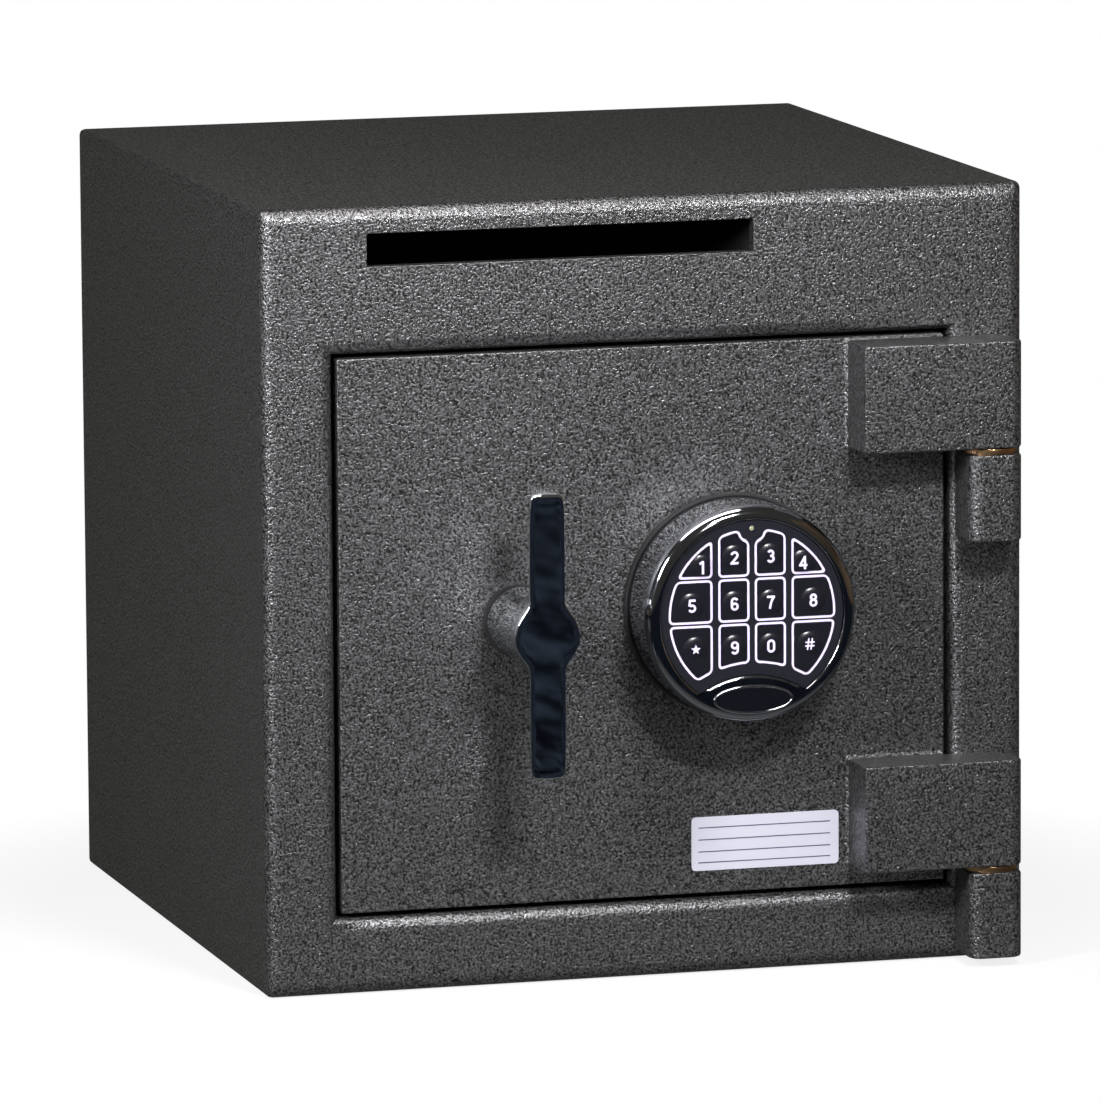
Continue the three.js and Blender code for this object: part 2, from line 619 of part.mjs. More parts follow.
// The body, with the frame side of the hinges
const body = groupAt(0, 0, 0,
  pieceOf('body_shell', makeBodyShell(), hammeredPaint()),
  pieceOf('front_frame', makeFrontFrame(), hammeredPaint()),
  pieceOf('back_plate', makeBackPlate(), hammeredPaint()),
  pieceOf('deposit_chute', makeDepositChute(), hammeredPaint()),
  pieceOf('anti_fish_comb', makeComb(), hammeredPaint()),
  pieceOf('anchor_hole_plug', makeAnchorPlug(), blackRubber()),
);

// The door, with what is fixed to it
const doorLeaf = groupAt(0, 0, 0,
  pieceOf('door_plate', makeDoorPlate(), hammeredPaint()),
  pieceOf('hard_plate', makeHardPlate(), zincSteel()),
  pieceOf('dead_bar', makeDeadBar(), hammeredPaint()),
  pieceOf('bolt_guide', makeBoltGuide(), hammeredPaint()),
  pieceOf('lock_case', makeLockCase(), castZinc()),
  pieceOf('lock_cover', makeLockCover(), castZinc()),
  pieceOf('lock_cable', makeLockCable(), blackRubber()),
  pieceOf('door_cover', makeDoorCover(), hammeredPaint()),
  pieceOf('data_label', makeLabel(), finish(0xe9e9ee, 0.5, 0)),
);

for (const [side, z0] of Object.entries(hingeLevels)) {
  const top = z0 + knuckle.height;
  body.add(
    pieceOf(`hinge_knuckle_${side}`, makeKnuckle(z0), hammeredPaint()),
    pieceOf(`hinge_pin_${side}`, makePin(top), zincSteel()),
    pieceOf(`thrust_washer_${side}`, makeWasher(top), brass()),
  );
  const leafZ = top + washer.height + washer.gap;
  doorLeaf.add(pieceOf(`hinge_leaf_${side}`, makeLeaf(leafZ), hammeredPaint()));
}

screwPlaces.forEach((place, i) => {
  doorLeaf.add(pieceOf(`cover_screw_${i + 1}`, makeCoverScrew(place), zincSteel()));
});

['lower', 'upper'].forEach((side, i) => {
  doorLeaf.add(pieceOf(`carrier_stud_${side}`, makeStud(stud.levels[i]), zincSteel()));
});

const boltwork = groupAt(0, 0, 0, pieceOf('bolt_carrier', makeCarrier(), zincSteel()));
bolt.levels.forEach((level, i) => {
  boltwork.add(pieceOf(`locking_bolt_${i + 1}`, makeLockingBolt(level), chrome()));
});

const handleGroup = groupAt(handle.x, 0, handle.z,
  pieceOf('t_handle', makeHandle(), chrome()),
  pieceOf('handle_ring', makeHandleRing(), blackRubber()),
  pieceOf('handle_spindle', makeSpindle(), zincSteel()),
  pieceOf('handle_set_screw', makeSetScrew(), zincSteel()),
  pieceOf('bolt_cam', makeCam(), zincSteel()),
);

const keypadGroup = groupAt(keypad.x, 0, keypad.z,
  pieceOf('keypad_gasket', makeGasket(), blackRubber()),
  pieceOf('keypad_base', makeKeypadBase(), darkPlastic()),
  pieceOf('keypad_housing', makeKeypadHousing(), finish(0x5a5c62, 0.12, 1)),
  pieceOf('keypad_faceplate', makeFaceplate(), darkPlastic()),
  pieceOf('keypad_badge', makeBadge(), finish(0x1b1c22, 0.2, 0)),
  pieceOf('keypad_lamp', makeLed(), finish(0xc8ccc8, 0.3, 0)),
  pieceOf('keypad_board', makeBoard(), finish(0x1f5b3a, 0.5, 0)),
  pieceOf('battery', makeBattery(), finish(0x2b2b30, 0.4, 0.5)),
  pieceOf('battery_door', makeBatteryDoor(), finish(0x5a5c62, 0.12, 1)),
  ...keyCells().map((cell) => pieceOf(`key_${cell.name}`, makeKey(cell), darkPlastic())),
);

doorLeaf.add(boltwork, handleGroup, keypadGroup, pieceOf('lock_bolt', makeLockBolt(), brass()));

const dropSafe = new THREE.Group();
dropSafe.add(groupAt(0, -half, 0, body, doorLeaf));

export default dropSafe;
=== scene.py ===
import json
import math

import bmesh
import bpy
from mathutils import Matrix, Vector

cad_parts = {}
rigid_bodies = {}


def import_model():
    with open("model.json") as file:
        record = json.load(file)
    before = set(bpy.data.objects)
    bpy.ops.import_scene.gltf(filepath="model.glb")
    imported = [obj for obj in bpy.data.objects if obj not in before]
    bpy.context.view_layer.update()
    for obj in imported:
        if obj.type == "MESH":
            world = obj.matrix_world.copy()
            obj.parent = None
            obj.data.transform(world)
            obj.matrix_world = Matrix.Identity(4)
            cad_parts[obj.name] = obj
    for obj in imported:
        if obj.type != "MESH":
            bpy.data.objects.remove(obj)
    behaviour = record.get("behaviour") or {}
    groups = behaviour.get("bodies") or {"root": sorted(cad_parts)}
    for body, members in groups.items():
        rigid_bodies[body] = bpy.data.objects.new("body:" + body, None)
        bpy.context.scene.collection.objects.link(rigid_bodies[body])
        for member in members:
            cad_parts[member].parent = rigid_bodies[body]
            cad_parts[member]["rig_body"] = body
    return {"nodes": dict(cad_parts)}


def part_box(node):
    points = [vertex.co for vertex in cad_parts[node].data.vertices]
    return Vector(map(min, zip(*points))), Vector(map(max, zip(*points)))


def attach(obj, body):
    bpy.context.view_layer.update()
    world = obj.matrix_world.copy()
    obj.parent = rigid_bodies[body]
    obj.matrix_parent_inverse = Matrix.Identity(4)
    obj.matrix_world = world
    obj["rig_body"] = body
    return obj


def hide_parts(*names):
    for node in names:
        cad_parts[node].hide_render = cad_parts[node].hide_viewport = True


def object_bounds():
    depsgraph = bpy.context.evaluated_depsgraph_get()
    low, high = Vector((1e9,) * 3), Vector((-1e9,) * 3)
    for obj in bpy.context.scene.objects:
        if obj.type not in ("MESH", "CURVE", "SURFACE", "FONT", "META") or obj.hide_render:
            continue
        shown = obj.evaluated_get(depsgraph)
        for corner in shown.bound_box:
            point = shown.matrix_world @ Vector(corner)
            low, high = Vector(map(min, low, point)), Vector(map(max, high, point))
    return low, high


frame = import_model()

# A small steel drop safe: folded hammertone box, hinged door, chrome T-handle and round keypad.
# Objects are in metres in the frame's own axes. Sizes in the pieces' dictionaries are millimetres,
# with x and z as in the frame and y counted back from the front of the box.
mm = 0.001
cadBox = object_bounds()
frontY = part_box("front_frame")[0].y


print("camera")
# Metres and degrees: a long lens about 4.7 m off, fitted to the box's own edges
view = {"place": (-1.2495, -4.4588, 0.8769), "yaw": -15.706, "tilt": 8.682, "roll": -0.374, "lens": 328.23}
bpy.ops.object.camera_add(location=view["place"])
camera = bpy.context.object
turnCamera = Matrix.Rotation(math.radians(view["yaw"]), 3, "Z")
turnCamera @= Matrix.Rotation(math.radians(90 - view["tilt"]), 3, "X")
turnCamera @= Matrix.Rotation(math.radians(view["roll"]), 3, "Z")
camera.rotation_euler = turnCamera.to_euler()
camera.data.lens = view["lens"]
camera.data.clip_end = 60
bpy.context.scene.camera = camera
bpy.context.scene.view_settings.view_transform = "Standard"


# Colours and nodes
def toLinear(hexColour):
    parts = [int(hexColour[i:i + 2], 16) / 255 for i in (1, 3, 5)]
    return [c / 12.92 if c <= 0.04045 else ((c + 0.055) / 1.055) ** 2.4 for c in parts] + [1]


def addNode(tree, kind, values=None, links=None, **settings):
    node = tree.nodes.new(kind)
    for name, value in settings.items():
        setattr(node, name, value)
    for socket, value in (values or {}).items():
        node.inputs[socket].default_value = value
    for socket, source in (links or {}).items():
        tree.links.new(source, node.inputs[socket])
    return node


def startMaterial(name, colour, roughness, metallic=0.0):
    material = bpy.data.materials.new(name)
    material.use_nodes = True
    tree = material.node_tree
    shader = tree.nodes["Principled BSDF"]
    shader.inputs["Base Color"].default_value = toLinear(colour)
    shader.inputs["Roughness"].default_value = roughness
    shader.inputs["Metallic"].default_value = metallic
    where = addNode(tree, "ShaderNodeTexCoord").outputs["Object"]
    return material, tree, shader, where


print("floor, lamps and room")
# Metres and watts
studio = {
    "floorRadius": 9, "floorZ": -0.0002, "whiteFrom": 0.24, "whiteTo": 0.36, "nearGlow": 0.82,
    "roomColour": "#494944",
    "keyPlace": (0.07, -1.0, 0.84), "keySize": (0.22, 0.1), "keyPower": 11.5,
    "sidePlace": (-0.88, -0.73, 0.66), "sideSize": (0.14, 0.3), "sidePower": 13.5,
    "frontPlace": (0.05, -2.0, 0.95), "frontSize": (0.16, 0.16), "frontPower": 1.5,
    "clothNear": 0.02, "clothFar": 3.0, "clothWidth": 3.2, "clothZ": -0.004,
    "paleFrom": 0.2, "paleTo": 0.42, "clothPatch": 0.008, "cardPatch": 0.5,
    "warmPlace": (1.5, -1.0, 0.7), "warmSize": (1.4, 3.0),
    "greyPlace": (-1.9, -0.9, 0.5), "greySize": (0.9, 1.5),
    "topPlace": (-0.4, -0.45, 1.6), "topSize": (1.3, 0.5), "topLevel": 22,
}


def makeSweepPaper():
    # Pale sweep paper: it takes the shadow near the safe and runs to plain white further out
    material, tree, shader, where = startMaterial("sweepPaper", "#f4f4f4", 0.9)
    shader.inputs["Specular IOR Level"].default_value = 0
    distance = addNode(tree, "ShaderNodeVectorMath", links={0: where}, operation="LENGTH")
    glow = addNode(tree, "ShaderNodeMapRange", {
        "From Min": studio["whiteFrom"], "From Max": studio["whiteTo"],
        "To Min": studio["nearGlow"], "To Max": 1,
    }, {"Value": distance.outputs["Value"]})
    ray = addNode(tree, "ShaderNodeLightPath")
    share = addNode(tree, "ShaderNodeMath", links={0: glow.outputs[0], 1: ray.outputs["Is Camera Ray"]},
                    operation="MULTIPLY")
    white = addNode(tree, "ShaderNodeEmission", {"Color": (1, 1, 1, 1), "Strength": 1})
    mixed = addNode(tree, "ShaderNodeMixShader", links={
        0: share.outputs[0], 1: shader.outputs[0], 2: white.outputs[0],
    })
    tree.links.new(mixed.outputs[0], tree.nodes["Material Output"].inputs["Surface"])
    return material


# The floor lies a hair under the box, so that the two faces don't show through each other
bpy.ops.mesh.primitive_circle_add(
    vertices=96, radius=studio["floorRadius"], fill_type="NGON", location=(0, 0, studio["floorZ"]),
)
floor = bpy.context.object
floor.name = "floor"
floor.data.materials.append(makeSweepPaper())
floor.visible_glossy = False


def makeReflected(name, dark, light, patch, stretch=1, pale=None, level=1):
    # Seen only in polished and painted metal: a glowing sheet of soft cloudy patches, a painted reflection of
    # a dim room behind the camera
    material, tree, shader, where = startMaterial(name, dark, 1.0)
    scaled = addNode(tree, "ShaderNodeVectorMath", {1: (1, stretch, 1)}, {0: where}, operation="MULTIPLY")
    clouds = addNode(tree, "ShaderNodeTexNoise", {"Scale": 1 / patch, "Detail": 5},
                     {"Vector": scaled.outputs[0]})
    tone = addNode(tree, "ShaderNodeValToRGB", links={"Fac": clouds.outputs["Fac"]})
    tone.color_ramp.elements[0].position = 0.42
    tone.color_ramp.elements[0].color = toLinear(dark)
    tone.color_ramp.elements[1].position = 0.66
    tone.color_ramp.elements[1].color = toLinear(light)
    colour = tone.outputs["Color"]
    # The pale colour near the safe is a painted reflection of the lit floor there, which reflections don't
    # see
    if pale:
        distance = addNode(tree, "ShaderNodeVectorMath", links={0: where}, operation="LENGTH")
        paleness = addNode(tree, "ShaderNodeMapRange", {
            "From Min": studio["paleFrom"], "From Max": studio["paleTo"], "To Min": 1, "To Max": 0,
        }, {"Value": distance.outputs["Value"]})
        colour = addNode(tree, "ShaderNodeMixRGB", {"Color2": toLinear(pale)}, {
            "Fac": paleness.outputs[0], "Color1": colour,
        }).outputs["Color"]
    glow = addNode(tree, "ShaderNodeEmission", {"Strength": level}, {"Color": colour})
    tree.links.new(glow.outputs[0], tree.nodes["Material Output"].inputs["Surface"])
    return material


def stageReflector(name, place, turn, size, material):
    bpy.ops.mesh.primitive_plane_add(size=1, location=place, rotation=turn)
    reflector = bpy.context.object
    reflector.name = name
    reflector.scale = (*size, 1)
    bpy.ops.object.transform_apply(location=True, rotation=True, scale=True)
    reflector.data.materials.append(material)
    reflector.visible_camera = False
    reflector.visible_diffuse = False
    reflector.visible_shadow = False


# A dim glowing sheet in front, a painted reflection of a dark room, keeps the chrome dark; brighter glowing
# cards at the sides and overhead, painted reflections too, edge it
clothDepth = studio["clothFar"] - studio["clothNear"]
clothPlace = (0, frontY - studio["clothNear"] - clothDepth / 2, studio["clothZ"])
flat, upright = (0, 0, 0), (0, math.pi / 2, 0)
stageReflector("floorCloth", clothPlace, flat, (studio["clothWidth"], clothDepth),
               makeReflected("floorCloth", "#06070b", "#323a46", studio["clothPatch"], 0.2, "#8a8a88"))
stageReflector("warmCard", studio["warmPlace"], upright, studio["warmSize"],
               makeReflected("warmCard", "#3a3026", "#86705a", studio["cardPatch"]))
stageReflector("greyCard", studio["greyPlace"], upright, studio["greySize"],
               makeReflected("greyCard", "#5c5d62", "#b4b5ba", studio["cardPatch"]))
stageReflector("topCard", studio["topPlace"], flat, studio["topSize"],
               makeReflected("topCard", "#b9b4b2", "#d8d3d4", studio["cardPatch"], level=studio["topLevel"]))


def addLamp(name):
    place = studio[f"{name}Place"]
    bpy.ops.object.light_add(type="AREA", location=place)
    lamp = bpy.context.object
    lamp.name = f"{name}Lamp"
    lamp.data.shape = "RECTANGLE"
    lamp.data.size, lamp.data.size_y = studio[f"{name}Size"]
    lamp.data.energy = studio[f"{name}Power"]
    aim = Vector((0, 0, cadBox[1][2] / 2)) - Vector(place)
    lamp.rotation_euler = aim.to_track_quat("-Z", "Y").to_euler()


# One lamp above in front and one on the left, each with its own shadow, and a weak one further off
for name in ("key", "side", "front"):
    addLamp(name)
world = bpy.data.worlds.new("room")
bpy.context.scene.world = world
world.use_nodes = True
world.node_tree.nodes["Background"].inputs["Color"].default_value = toLinear(studio["roomColour"])


print("materials")


def makeHammertone():
    # Charcoal hammertone enamel: leafing flakes pool into light crumbs between dark veins
    material, tree, shader, where = startMaterial("hammertoneEnamel", "#4a4a4c", 0.34, 0.8)
    crumb = 1.1 * mm  # across one light crumb
    wobble = addNode(tree, "ShaderNodeTexNoise", {"Scale": 1 / (3 * crumb), "Detail": 1}, {"Vector": where})
    push = addNode(tree, "ShaderNodeVectorMath", {1: (crumb, crumb, crumb)}, {0: wobble.outputs["Color"]},
                   operation="MULTIPLY")
    pushed = addNode(tree, "ShaderNodeVectorMath", links={0: where, 1: push.outputs[0]}, operation="ADD")
    crumbs = addNode(tree, "ShaderNodeTexNoise", {"Scale": 1 / crumb, "Detail": 2.2, "Roughness": 0.55},
                     {"Vector": pushed.outputs[0]})
    tone = addNode(tree, "ShaderNodeValToRGB", links={"Fac": crumbs.outputs["Fac"]})
    tone.color_ramp.elements[0].position = 0.37
    tone.color_ramp.elements[0].color = toLinear("#2c2c2b")
    tone.color_ramp.elements[1].position = 0.74
    tone.color_ramp.elements[1].color = toLinear("#949497")
    tree.links.new(tone.outputs["Color"], shader.inputs["Base Color"])
    relief = addNode(tree, "ShaderNodeBump", {"Strength": 1.0, "Distance": 0.5 * mm},
                     {"Height": crumbs.outputs["Fac"]})
    tree.links.new(relief.outputs[0], shader.inputs["Normal"])
    return material


def makeMetal(name, colour, roughness, grain, depth):
    # Plated or machined metal: clean reflections, uneven by as much as the polish or the tool left
    material, tree, shader, where = startMaterial(name, colour, roughness, 1.0)
    polish = addNode(tree, "ShaderNodeTexNoise", {"Scale": 1 / (grain * mm), "Detail": 3}, {"Vector": where})
    spread = addNode(tree, "ShaderNodeMapRange", {"To Min": roughness * 0.8, "To Max": roughness * 1.35},
                     {"Value": polish.outputs["Fac"]})
    tree.links.new(spread.outputs[0], shader.inputs["Roughness"])
    relief = addNode(tree, "ShaderNodeBump", {"Strength": 0.3, "Distance": depth * mm},
                     {"Height": polish.outputs["Fac"]})
    tree.links.new(relief.outputs[0], shader.inputs["Normal"])
    return material


def makePlastic(name, colour, roughness, grain=0.4, depth=0.01):
    # Moulded plastic, rubber, film or ink: a fine grain breaks up the sheen. A real grain of about
    # 0.1 mm wouldn't show, so it is drawn coarser.
    material, tree, shader, where = startMaterial(name, colour, roughness)
    texture = addNode(tree, "ShaderNodeTexNoise", {"Scale": 1 / (grain * mm), "Detail": 2}, {"Vector": where})
    relief = addNode(tree, "ShaderNodeBump", {"Strength": 0.4, "Distance": depth * mm},
                     {"Height": texture.outputs["Fac"]})
    tree.links.new(relief.outputs[0], shader.inputs["Normal"])
    return material


hammertone = makeHammertone()
chrome = makeMetal("polishedChrome", "#dfe2e6", 0.03, 9, 0.01)  # buffed and plated: mirrors the dark room
darkChrome = makeMetal("darkChrome", "#9b9da3", 0.07, 9, 0.01)  # smoked plating: the same, softer and greyer
zincSteel = makeMetal("zincPlatedSteel", "#a9acad", 0.38, 1.2, 0.02)  # barrel-plated: dull silver
brass = makeMetal("machinedBrass", "#c9a27a", 0.28, 0.8, 0.02)  # turned: a warm satin line
castZinc = makeMetal("dieCastZinc", "#8f9396", 0.5, 0.9, 0.05)  # left as cast: matt grey
keypadPlastic = makePlastic("texturedAbs", "#1a1b22", 0.32)  # satin, almost black
keyPlastic = makePlastic("mouldedAbs", "#15151c", 0.26)  # a small soft highlight on each key
badgePlastic = makePlastic("glossAcrylic", "#0d0e13", 0.12)  # deep black gloss
outlineInk = makePlastic("screenPrintedInk", "#d6caee", 0.5)  # pale lilac lines and figures
# Painted shade: the chute and comb are enamelled like the box, but drawn near-black so the inside of the slot
# stays dark
slotShadeBlack = makePlastic("paintedSlotShade", "#070708", 0.8)  # keeps the inside of the slot dark
blackRubber = makePlastic("mouldedRubber", "#17171a", 0.7, 0.6, 0.03)  # matt, with a rough grain
lampLens = makePlastic("lampPolycarbonate", "#8f8d7a", 0.15)  # an unlit, yellowish bead
boardMask = makePlastic("solderMask", "#1f5b3a", 0.4)  # green lacquer on the board
batteryTin = makePlastic("printedTin", "#2b2b30", 0.35)  # dark lacquered can
labelFilm = makePlastic("polyesterFilm", "#b7b7c4", 0.42)  # cool white with a faint sheen
labelInk = makePlastic("labelInk", "#4f4b66", 0.5)  # thin violet-grey rules


# Places: millimetres with y counted back from the front, to metres in the frame and back
def at(x, y, z):
    return Vector((x * mm, y * mm + frontY, z * mm))


def toMm(place):
    return Vector((place.x, place.y - frontY, place.z)) / mm


def choose(*objs):
    if bpy.context.object and bpy.context.object.mode != "OBJECT":
        bpy.ops.object.mode_set(mode="OBJECT")
    bpy.ops.object.select_all(action="DESELECT")
    for obj in objs:
        obj.select_set(True)
        bpy.context.view_layer.objects.active = obj


def settle(name):
    obj = bpy.context.object
    obj.name = name
    choose(obj)
    bpy.ops.object.transform_apply(location=True, rotation=True, scale=True)
    return obj


def addBox(name, x0, x1, y0, y1, z0, z1):
    choose()
    low, high = at(x0, y0, z0), at(x1, y1, z1)
    bpy.ops.mesh.primitive_cube_add(size=1, location=(low + high) / 2)
    bpy.context.object.scale = high - low
    return settle(name)


def pick(obj, kind, test, bend=0):
    # Enters edit mode and selects what the test picks: by place, by both ends, or by middle and normal
    choose(obj)
    bpy.ops.object.mode_set(mode="EDIT")
    bpy.ops.mesh.select_mode(type=kind)
    bpy.ops.mesh.select_all(action="DESELECT")
    mesh = bmesh.from_edit_mesh(obj.data)
    if kind == "VERT":
        found = [v for v in mesh.verts if test(toMm(v.co))]
    elif kind == "EDGE":
        found = [e for e in mesh.edges if test(*[toMm(v.co) for v in e.verts])]
        found = [e for e in found if e.calc_face_angle(math.pi) >= math.radians(bend)]
    else:
        found = [f for f in mesh.faces if test(toMm(f.calc_center_median()), f.normal)]
    for part in found:
        part.select_set(True)
    mesh.select_flush_mode()
    bmesh.update_edit_mesh(obj.data)


def roundEdges(obj, radius, segments, test, bend=0):
    pick(obj, "EDGE", test, bend=bend)
    bpy.ops.mesh.bevel(offset=radius * mm, segments=segments, affect="EDGES", clamp_overlap=False)
    choose(obj)


def applyModifier(obj, kind, **settings):
    choose(obj)
    modifier = obj.modifiers.new(kind.lower(), kind)
    for name, value in settings.items():
        setattr(modifier, name, value)
    bpy.ops.object.modifier_apply(modifier=modifier.name)


def combine(obj, other, operation="DIFFERENCE"):
    applyModifier(obj, "BOOLEAN", object=other, operation=operation, solver="EXACT")
    bpy.data.objects.remove(other)
    return obj


def softenEdges(obj, width, segments=2, angle=35):
    applyModifier(obj, "BEVEL", width=width * mm, segments=segments, limit_method="ANGLE",
                  angle_limit=math.radians(angle))


def drawChain(name, points, closed=False):
    # Points joined one after the other by extruding a single vertex; a closed chain is filled
    choose()
    bpy.ops.mesh.primitive_plane_add(size=mm, location=points[0])
    obj = settle(name)
    bpy.ops.object.mode_set(mode="EDIT")
    bpy.ops.mesh.select_mode(type="VERT")
    bpy.ops.mesh.select_all(action="SELECT")
    bpy.ops.mesh.merge(type="CENTER")
    for before, after in zip(points, points[1:]):
        bpy.ops.mesh.extrude_vertices_move(TRANSFORM_OT_translate={"value": after - before})
    bpy.ops.mesh.select_all(action="SELECT")
    if closed:
        bpy.ops.mesh.edge_face_add()
    return obj


def lathe(name, centre, axis, profile, steps=96):
    # Spins a profile of (radius, distance along the axis) round the centre
    along = Vector([float(axis == letter) for letter in "xyz"])
    out = Vector((0, 0, 1)) if axis == "x" else Vector((1, 0, 0))
    obj = drawChain(name, [centre + (out * radius + along * reach) * mm for radius, reach in profile])
    bpy.ops.mesh.spin(steps=steps, angle=2 * math.pi, center=centre, axis=along)
    bpy.ops.mesh.select_all(action="SELECT")
    bpy.ops.mesh.remove_doubles(threshold=0.001 * mm)
    bpy.ops.mesh.normals_make_consistent(inside=False)
    choose(obj)
    return obj


def lathedRod(name, centre, axis, radius, reach0, reach1, steps=64):
    return lathe(name, centre, axis, [(0, reach0), (radius, reach0), (radius, reach1), (0, reach1)], steps)


def copyPiece(obj, name, x=0, z=0):
    choose(obj)
    bpy.ops.object.duplicate()
    bpy.ops.transform.translate(value=(x * mm, 0, z * mm))
    return settle(name)


def finishPiece(obj, material, slot, body, *replaced, crease=35):
    choose(obj)
    obj.data.materials.clear()
    obj.data.materials.append(material)
    bpy.ops.object.shade_smooth_by_angle(angle=math.radians(crease))
    applyModifier(obj, "WEIGHTED_NORMAL", keep_sharp=True)
    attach(obj, body)
    if replaced:
        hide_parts(*replaced)


print("cabinet")
cabinet = {
    "half": 177.8, "size": 355.6, "plate": 6.35, "fold": 6.5, "longEdge": 2.5, "jamb": 20, "slotEdge": 0.35,
    "doorway": (-145, 143, 35.2, 289.6), "slot": (-129.2, 50.2, 329, 343.8), "anchor": (0, 237.8, 6.75),
    "panelEdge": 0.8,
}
half, size, plate = cabinet["half"], cabinet["size"], cabinet["plate"]
near = 0.05  # millimetres within which a point counts as lying on a face or an edge
cabinetBox = addBox("cabinet", -half, half, 0, size, 0, size)


def inFrame(place, bounds):
    x0, x1, z0, z1 = bounds
    within = x0 - near < place.x < x1 + near and z0 - near < place.z < z1 + near
    return within and abs(place.y) < near


def edgesOf(bounds):
    return lambda a, b: inFrame(a, bounds) and inFrame(b, bounds)


def onRim(a, b):
    return all(abs(p.y) < near and max(abs(p.x), abs(p.z - half)) > half - near for p in (a, b))


def onLongEdge(place):
    side, top = half - abs(place.x), half - abs(place.z - half)
    onBend = place.y < plate - near and max(side, top) < cabinet["fold"] + near
    return abs(side - top) < near and (onBend or side < near)


doorway, depositSlot = cabinet["doorway"], cabinet["slot"]
for x0, x1, z0, z1 in (doorway, depositSlot):
    for reach, normal in ((x0, (1, 0, 0)), (x1, (1, 0, 0)), (z0, (0, 0, 1)), (z1, (0, 0, 1))):
        pick(cabinetBox, "FACE", lambda c, n: n.y < -0.5)
        bpy.ops.mesh.bisect(plane_co=at(reach, 0, reach), plane_no=normal)
pick(cabinetBox, "FACE", lambda c, n: inFrame(c, doorway) or inFrame(c, depositSlot) or n.y > 0.5)
bpy.ops.mesh.delete(type="FACE")
pick(cabinetBox, "EDGE", edgesOf(doorway))
bpy.ops.mesh.extrude_region_move(TRANSFORM_OT_translate={"value": (0, cabinet["jamb"] * mm, 0)})
applyModifier(cabinetBox, "SOLIDIFY", thickness=plate * mm, offset=-1, use_even_offset=True)
roundEdges(cabinetBox, cabinet["fold"], 6, onRim)
roundEdges(cabinetBox, cabinet["fold"], 6, edgesOf(doorway))
roundEdges(cabinetBox, cabinet["longEdge"], 3, lambda a, b: onLongEdge(a) and onLongEdge(b))
roundEdges(cabinetBox, cabinet["slotEdge"], 2, edgesOf(depositSlot))
anchorX, anchorY, anchorRadius = cabinet["anchor"]
combine(cabinetBox, lathedRod("anchorDrill", at(anchorX, anchorY, 0), "z", anchorRadius, -1, plate + 1))
finishPiece(cabinetBox, hammertone, "hammered_paint", "safe_body", "body_shell", "front_frame")

innerHalf = half - plate
backPanel = addBox("back_panel", -innerHalf, innerHalf, size - plate, size, plate, size - plate)
softenEdges(backPanel, cabinet["panelEdge"], 3)
finishPiece(backPanel, hammertone, "hammered_paint", "safe_body", "back_plate")


print("door")
door = {
    "x0": -143.2, "x1": 140.4, "y0": 1.5, "y1": 14.2, "z0": 37, "z1": 287.9, "edge": 0.8,
    "spindle": (-60.3, 166.3, 6.8), "cable": (39.3, 169.3, 5),
    "screwX": (-95, 95), "screwZ": (45, 280), "screwHole": 2.6, "screwFrom": 6.7,
}
screwPlaces = [(x, z) for x in door["screwX"] for z in door["screwZ"]]
slab = addBox("door", door["x0"], door["x1"], door["y0"], door["y1"], door["z0"], door["z1"])
softenEdges(slab, door["edge"], 4)
for x, z, radius in (door["spindle"], door["cable"]):
    combine(slab, lathedRod("drill", at(x, 0, z), "y", radius, -1, door["y1"] + 1))
for x, z in screwPlaces:
    drill = lathedRod("drill", at(x, 0, z), "y", door["screwHole"], door["screwFrom"], door["y1"] + 1, 32)
    combine(slab, drill)
finishPiece(slab, hammertone, "hammered_paint", "door", "door_plate")


print("hinges")
hinge = {
    "x": 157.5, "y": -12.7, "bar": 25.4, "bore": 6.6, "edge": 1.1, "round": 6,
    "leafX0": 94.6, "leafX1": 170, "leafStep": 139.4, "leafBack": -0.8, "leafTurn": 11.9,
    "leafHeight": 48.8, "knuckleX0": 145, "knuckleHeight": 39.5, "lower": 4, "upper": 195.5,
    "washerOuter": 12.2, "washerInner": 6.75, "washerHeight": 2.7, "washerGap": 0.3, "washerEdge": 0.4,
    "weld": 1.3, "weldRound": 0.8, "pinDepth": 35.3, "pinRise": 40,
}


def standsAt(a, b, x, y):
    return all(abs(p.x - x) < near and abs(p.y - y) < near for p in (a, b))


def makeKnuckle(z0):
    top = z0 + hinge["knuckleHeight"]
    block = addBox("hinge_knuckle_lower_bar", hinge["knuckleX0"], hinge["leafX1"], -hinge["bar"], 0, z0, top)
    for x in (hinge["knuckleX0"], hinge["leafX1"]):
        roundEdges(block, hinge["round"], 8, lambda a, b: standsAt(a, b, x, -hinge["bar"]))
    bore = lathedRod("bore", at(hinge["x"], hinge["y"], top), "z", hinge["bore"], -hinge["pinDepth"], 1)
    combine(block, bore)
    softenEdges(block, hinge["edge"])
    return block


def makeLeaf(z0):
    top = z0 + hinge["leafHeight"]
    block = addBox("hinge_leaf_lower_bar", hinge["leafX0"], hinge["leafX1"], -hinge["bar"], hinge["leafBack"],
                   z0, top)
    pick(block, "FACE", lambda c, n: n.y > 0.5)
    bpy.ops.mesh.bisect(plane_co=at(hinge["leafStep"], 0, 0), plane_no=(1, 0, 0))
    pick(block, "FACE", lambda c, n: n.y > 0.5 and c.x < hinge["leafStep"])
    reach = door["y0"] - hinge["leafBack"]
    bpy.ops.mesh.extrude_region_move(TRANSFORM_OT_translate={"value": (0, reach * mm, 0)})
    roundEdges(block, hinge["round"], 8, lambda a, b: standsAt(a, b, hinge["leafX1"], -hinge["bar"]))
    roundEdges(block, hinge["leafTurn"], 12, lambda a, b: standsAt(a, b, hinge["leafX1"], hinge["leafBack"]))
    bore = lathedRod("bore", at(hinge["x"], hinge["y"], z0), "z", hinge["bore"], -1, hinge["pinRise"])
    combine(block, bore)
    softenEdges(block, hinge["edge"])
    return block


